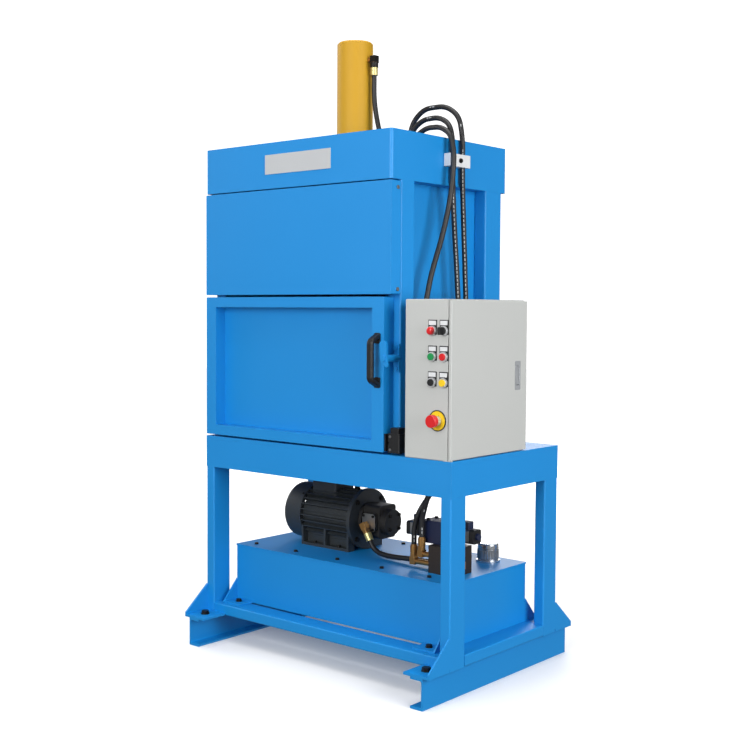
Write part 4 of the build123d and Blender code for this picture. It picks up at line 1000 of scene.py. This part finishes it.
BODY_MIDDLE = (0.0, 0.0, 1.0)
TABLE_MIDDLE = (0.0, 0.0, 0.75)
SOFT_BOXES = (
    SoftBox("front", (0.6, -4.8, 2.2), TABLE_MIDDLE, 168.0),
    SoftBox("side", (4.8, -0.8, 1.9), TABLE_MIDDLE, 192.0),
    SoftBox("rear", (-2.2, 4.8, 3.0), BODY_MIDDLE, 120.0),
    SoftBox("left", (-4.8, -0.6, 2.8), BODY_MIDDLE, 80.0),
    SoftBox("top", (0.0, -0.4, 5.0), BODY_MIDDLE, 105.0, size=3.0),
)


@dataclass
class Studio:
    """Camera, light and floor.

    Attributes:
        camera_at: Where the camera stands.
        yaw: Its turn about the upright.
        pitch: How far it looks down.
        roll: Its tilt about its own axis.
        lens: Its focal length in millimetres.
        surround: Strength of the even light from all sides.
    """

    camera_at: Point = (2.68335, -3.17692, 1.22218)
    yaw: float = math.radians(40.68)
    pitch: float = math.radians(2.74)
    roll: float = math.radians(-0.29)
    lens: float = 57.43
    surround: float = 0.27

    def build(self) -> None:
        """Sets the whole studio up."""
        self._camera()
        self._lights()
        self._floor()
        scene = bpy.context.scene
        scene.view_settings.view_transform = "Standard"
        scene.view_settings.look = "None"

    def _camera(self) -> None:
        """Places the camera at the photograph's angle."""
        side = Vector((math.cos(self.yaw), math.sin(self.yaw), 0.0))
        level = Vector((-math.sin(self.yaw), math.cos(self.yaw), 0.0))
        ahead = level * math.cos(self.pitch) - UP * math.sin(self.pitch)
        above = UP * math.cos(self.pitch) + level * math.sin(self.pitch)
        across = side * math.cos(self.roll) - above * math.sin(self.roll)
        over = side * math.sin(self.roll) + above * math.cos(self.roll)
        turn = Matrix((across, over, -ahead)).transposed().to_4x4()
        data = bpy.data.cameras.new("camera")
        data.lens = self.lens
        data.sensor_width = 36.0
        data.dof.use_dof = False
        camera = bpy.data.objects.new("camera", data)
        camera.matrix_world = Matrix.Translation(self.camera_at) @ turn
        bpy.context.scene.collection.objects.link(camera)
        bpy.context.scene.camera = camera

    def _lights(self) -> None:
        """Hangs the soft boxes and adds the even surround."""
        for soft_box in SOFT_BOXES:
            soft_box.hang()
        world = bpy.data.worlds.new("surround")
        world.use_nodes = True
        sky = world.node_tree.nodes["Background"]
        sky.inputs["Color"].default_value = (1.0, 1.0, 1.0, 1.0)
        sky.inputs["Strength"].default_value = self.surround
        bpy.context.scene.world = world

    def _stage(self, name: str, data: bpy.types.Mesh, material: bpy.types.Material) -> None:
        """Adds one plain pale piece of the studio, which throws no light back on the machine.

        Args:
            name: Its name.
            data: Its mesh.
            material: Its material.
        """
        data.materials.append(material)
        piece = bpy.data.objects.new(name, data)
        piece.visible_diffuse = False
        piece.visible_glossy = False
        bpy.context.scene.collection.objects.link(piece)

    def _pale(self, name: str) -> bpy.types.Material:
        """Makes a pale, dull material that glows white.

        Args:
            name: Its name.

        Returns:
            The material.
        """
        material = bpy.data.materials.new(name)
        material.use_nodes = True
        shader = material.node_tree.nodes["Principled BSDF"]
        shader.inputs["Base Color"].default_value = (0.9, 0.9, 0.9, 1.0)
        shader.inputs["Roughness"].default_value = 0.8
        shader.inputs["Emission Color"].default_value = (1.0, 1.0, 1.0, 1.0)
        shader.inputs["Emission Strength"].default_value = 1.0
        return material

    def _floor(self) -> None:
        """Lays a plain pale floor, which glows more away from the machine, under a white dome."""
        half, pool, reach, dim, bright = 20.0, 1.2, 5.0, 0.12, 0.85
        floor = self._pale("floor")
        nodes, links = floor.node_tree.nodes, floor.node_tree.links
        place = nodes.new("ShaderNodeTexCoord")
        scale = nodes.new("ShaderNodeMapping")
        scale.inputs["Scale"].default_value = (1 / reach, 1 / reach, 1 / reach)
        fall = nodes.new("ShaderNodeTexGradient")
        fall.gradient_type = "SPHERICAL"
        glow = nodes.new("ShaderNodeValToRGB")
        glow.color_ramp.elements[0].color = (bright, bright, bright, 1.0)
        glow.color_ramp.elements[1].color = (dim, dim, dim, 1.0)
        glow.color_ramp.elements[1].position = 1.0 - pool / reach
        links.new(place.outputs["Object"], scale.inputs["Vector"])
        links.new(scale.outputs["Vector"], fall.inputs["Vector"])
        links.new(fall.outputs["Fac"], glow.inputs["Fac"])
        links.new(glow.outputs["Color"], nodes["Principled BSDF"].inputs["Emission Color"])
        sheet = bpy.data.meshes.new("floor")
        corners = [(-half, -half, 0.0), (half, -half, 0.0), (half, half, 0.0), (-half, half, 0.0)]
        sheet.from_pydata(corners, [], [(0, 1, 2, 3)])
        self._stage("floor", sheet, floor)
        shell = bmesh.new()
        bmesh.ops.create_uvsphere(shell, u_segments=48, v_segments=24, radius=half)
        dome = bpy.data.meshes.new("dome")
        shell.to_mesh(dome)
        shell.free()
        self._stage("dome", dome, self._pale("dome"))


def main() -> None:
    """Dresses the press and sets up the studio."""
    logging.basicConfig(level=logging.INFO)
    shop = MaterialShop()
    Studio().build()
    prints = Pile("hose_print", PRINT)
    for hose in HOSES:
        hose.build(shop)
        if hose.printed:
            hose.marks(prints, PRINT_FACE)
    prints.build(shop)
    NodeDresser(shop).dress()
    Fasteners(shop).build()
    PowerTrim(shop).build()
    ControlTrim(shop).build()


if __name__ == "__main__":
    main()
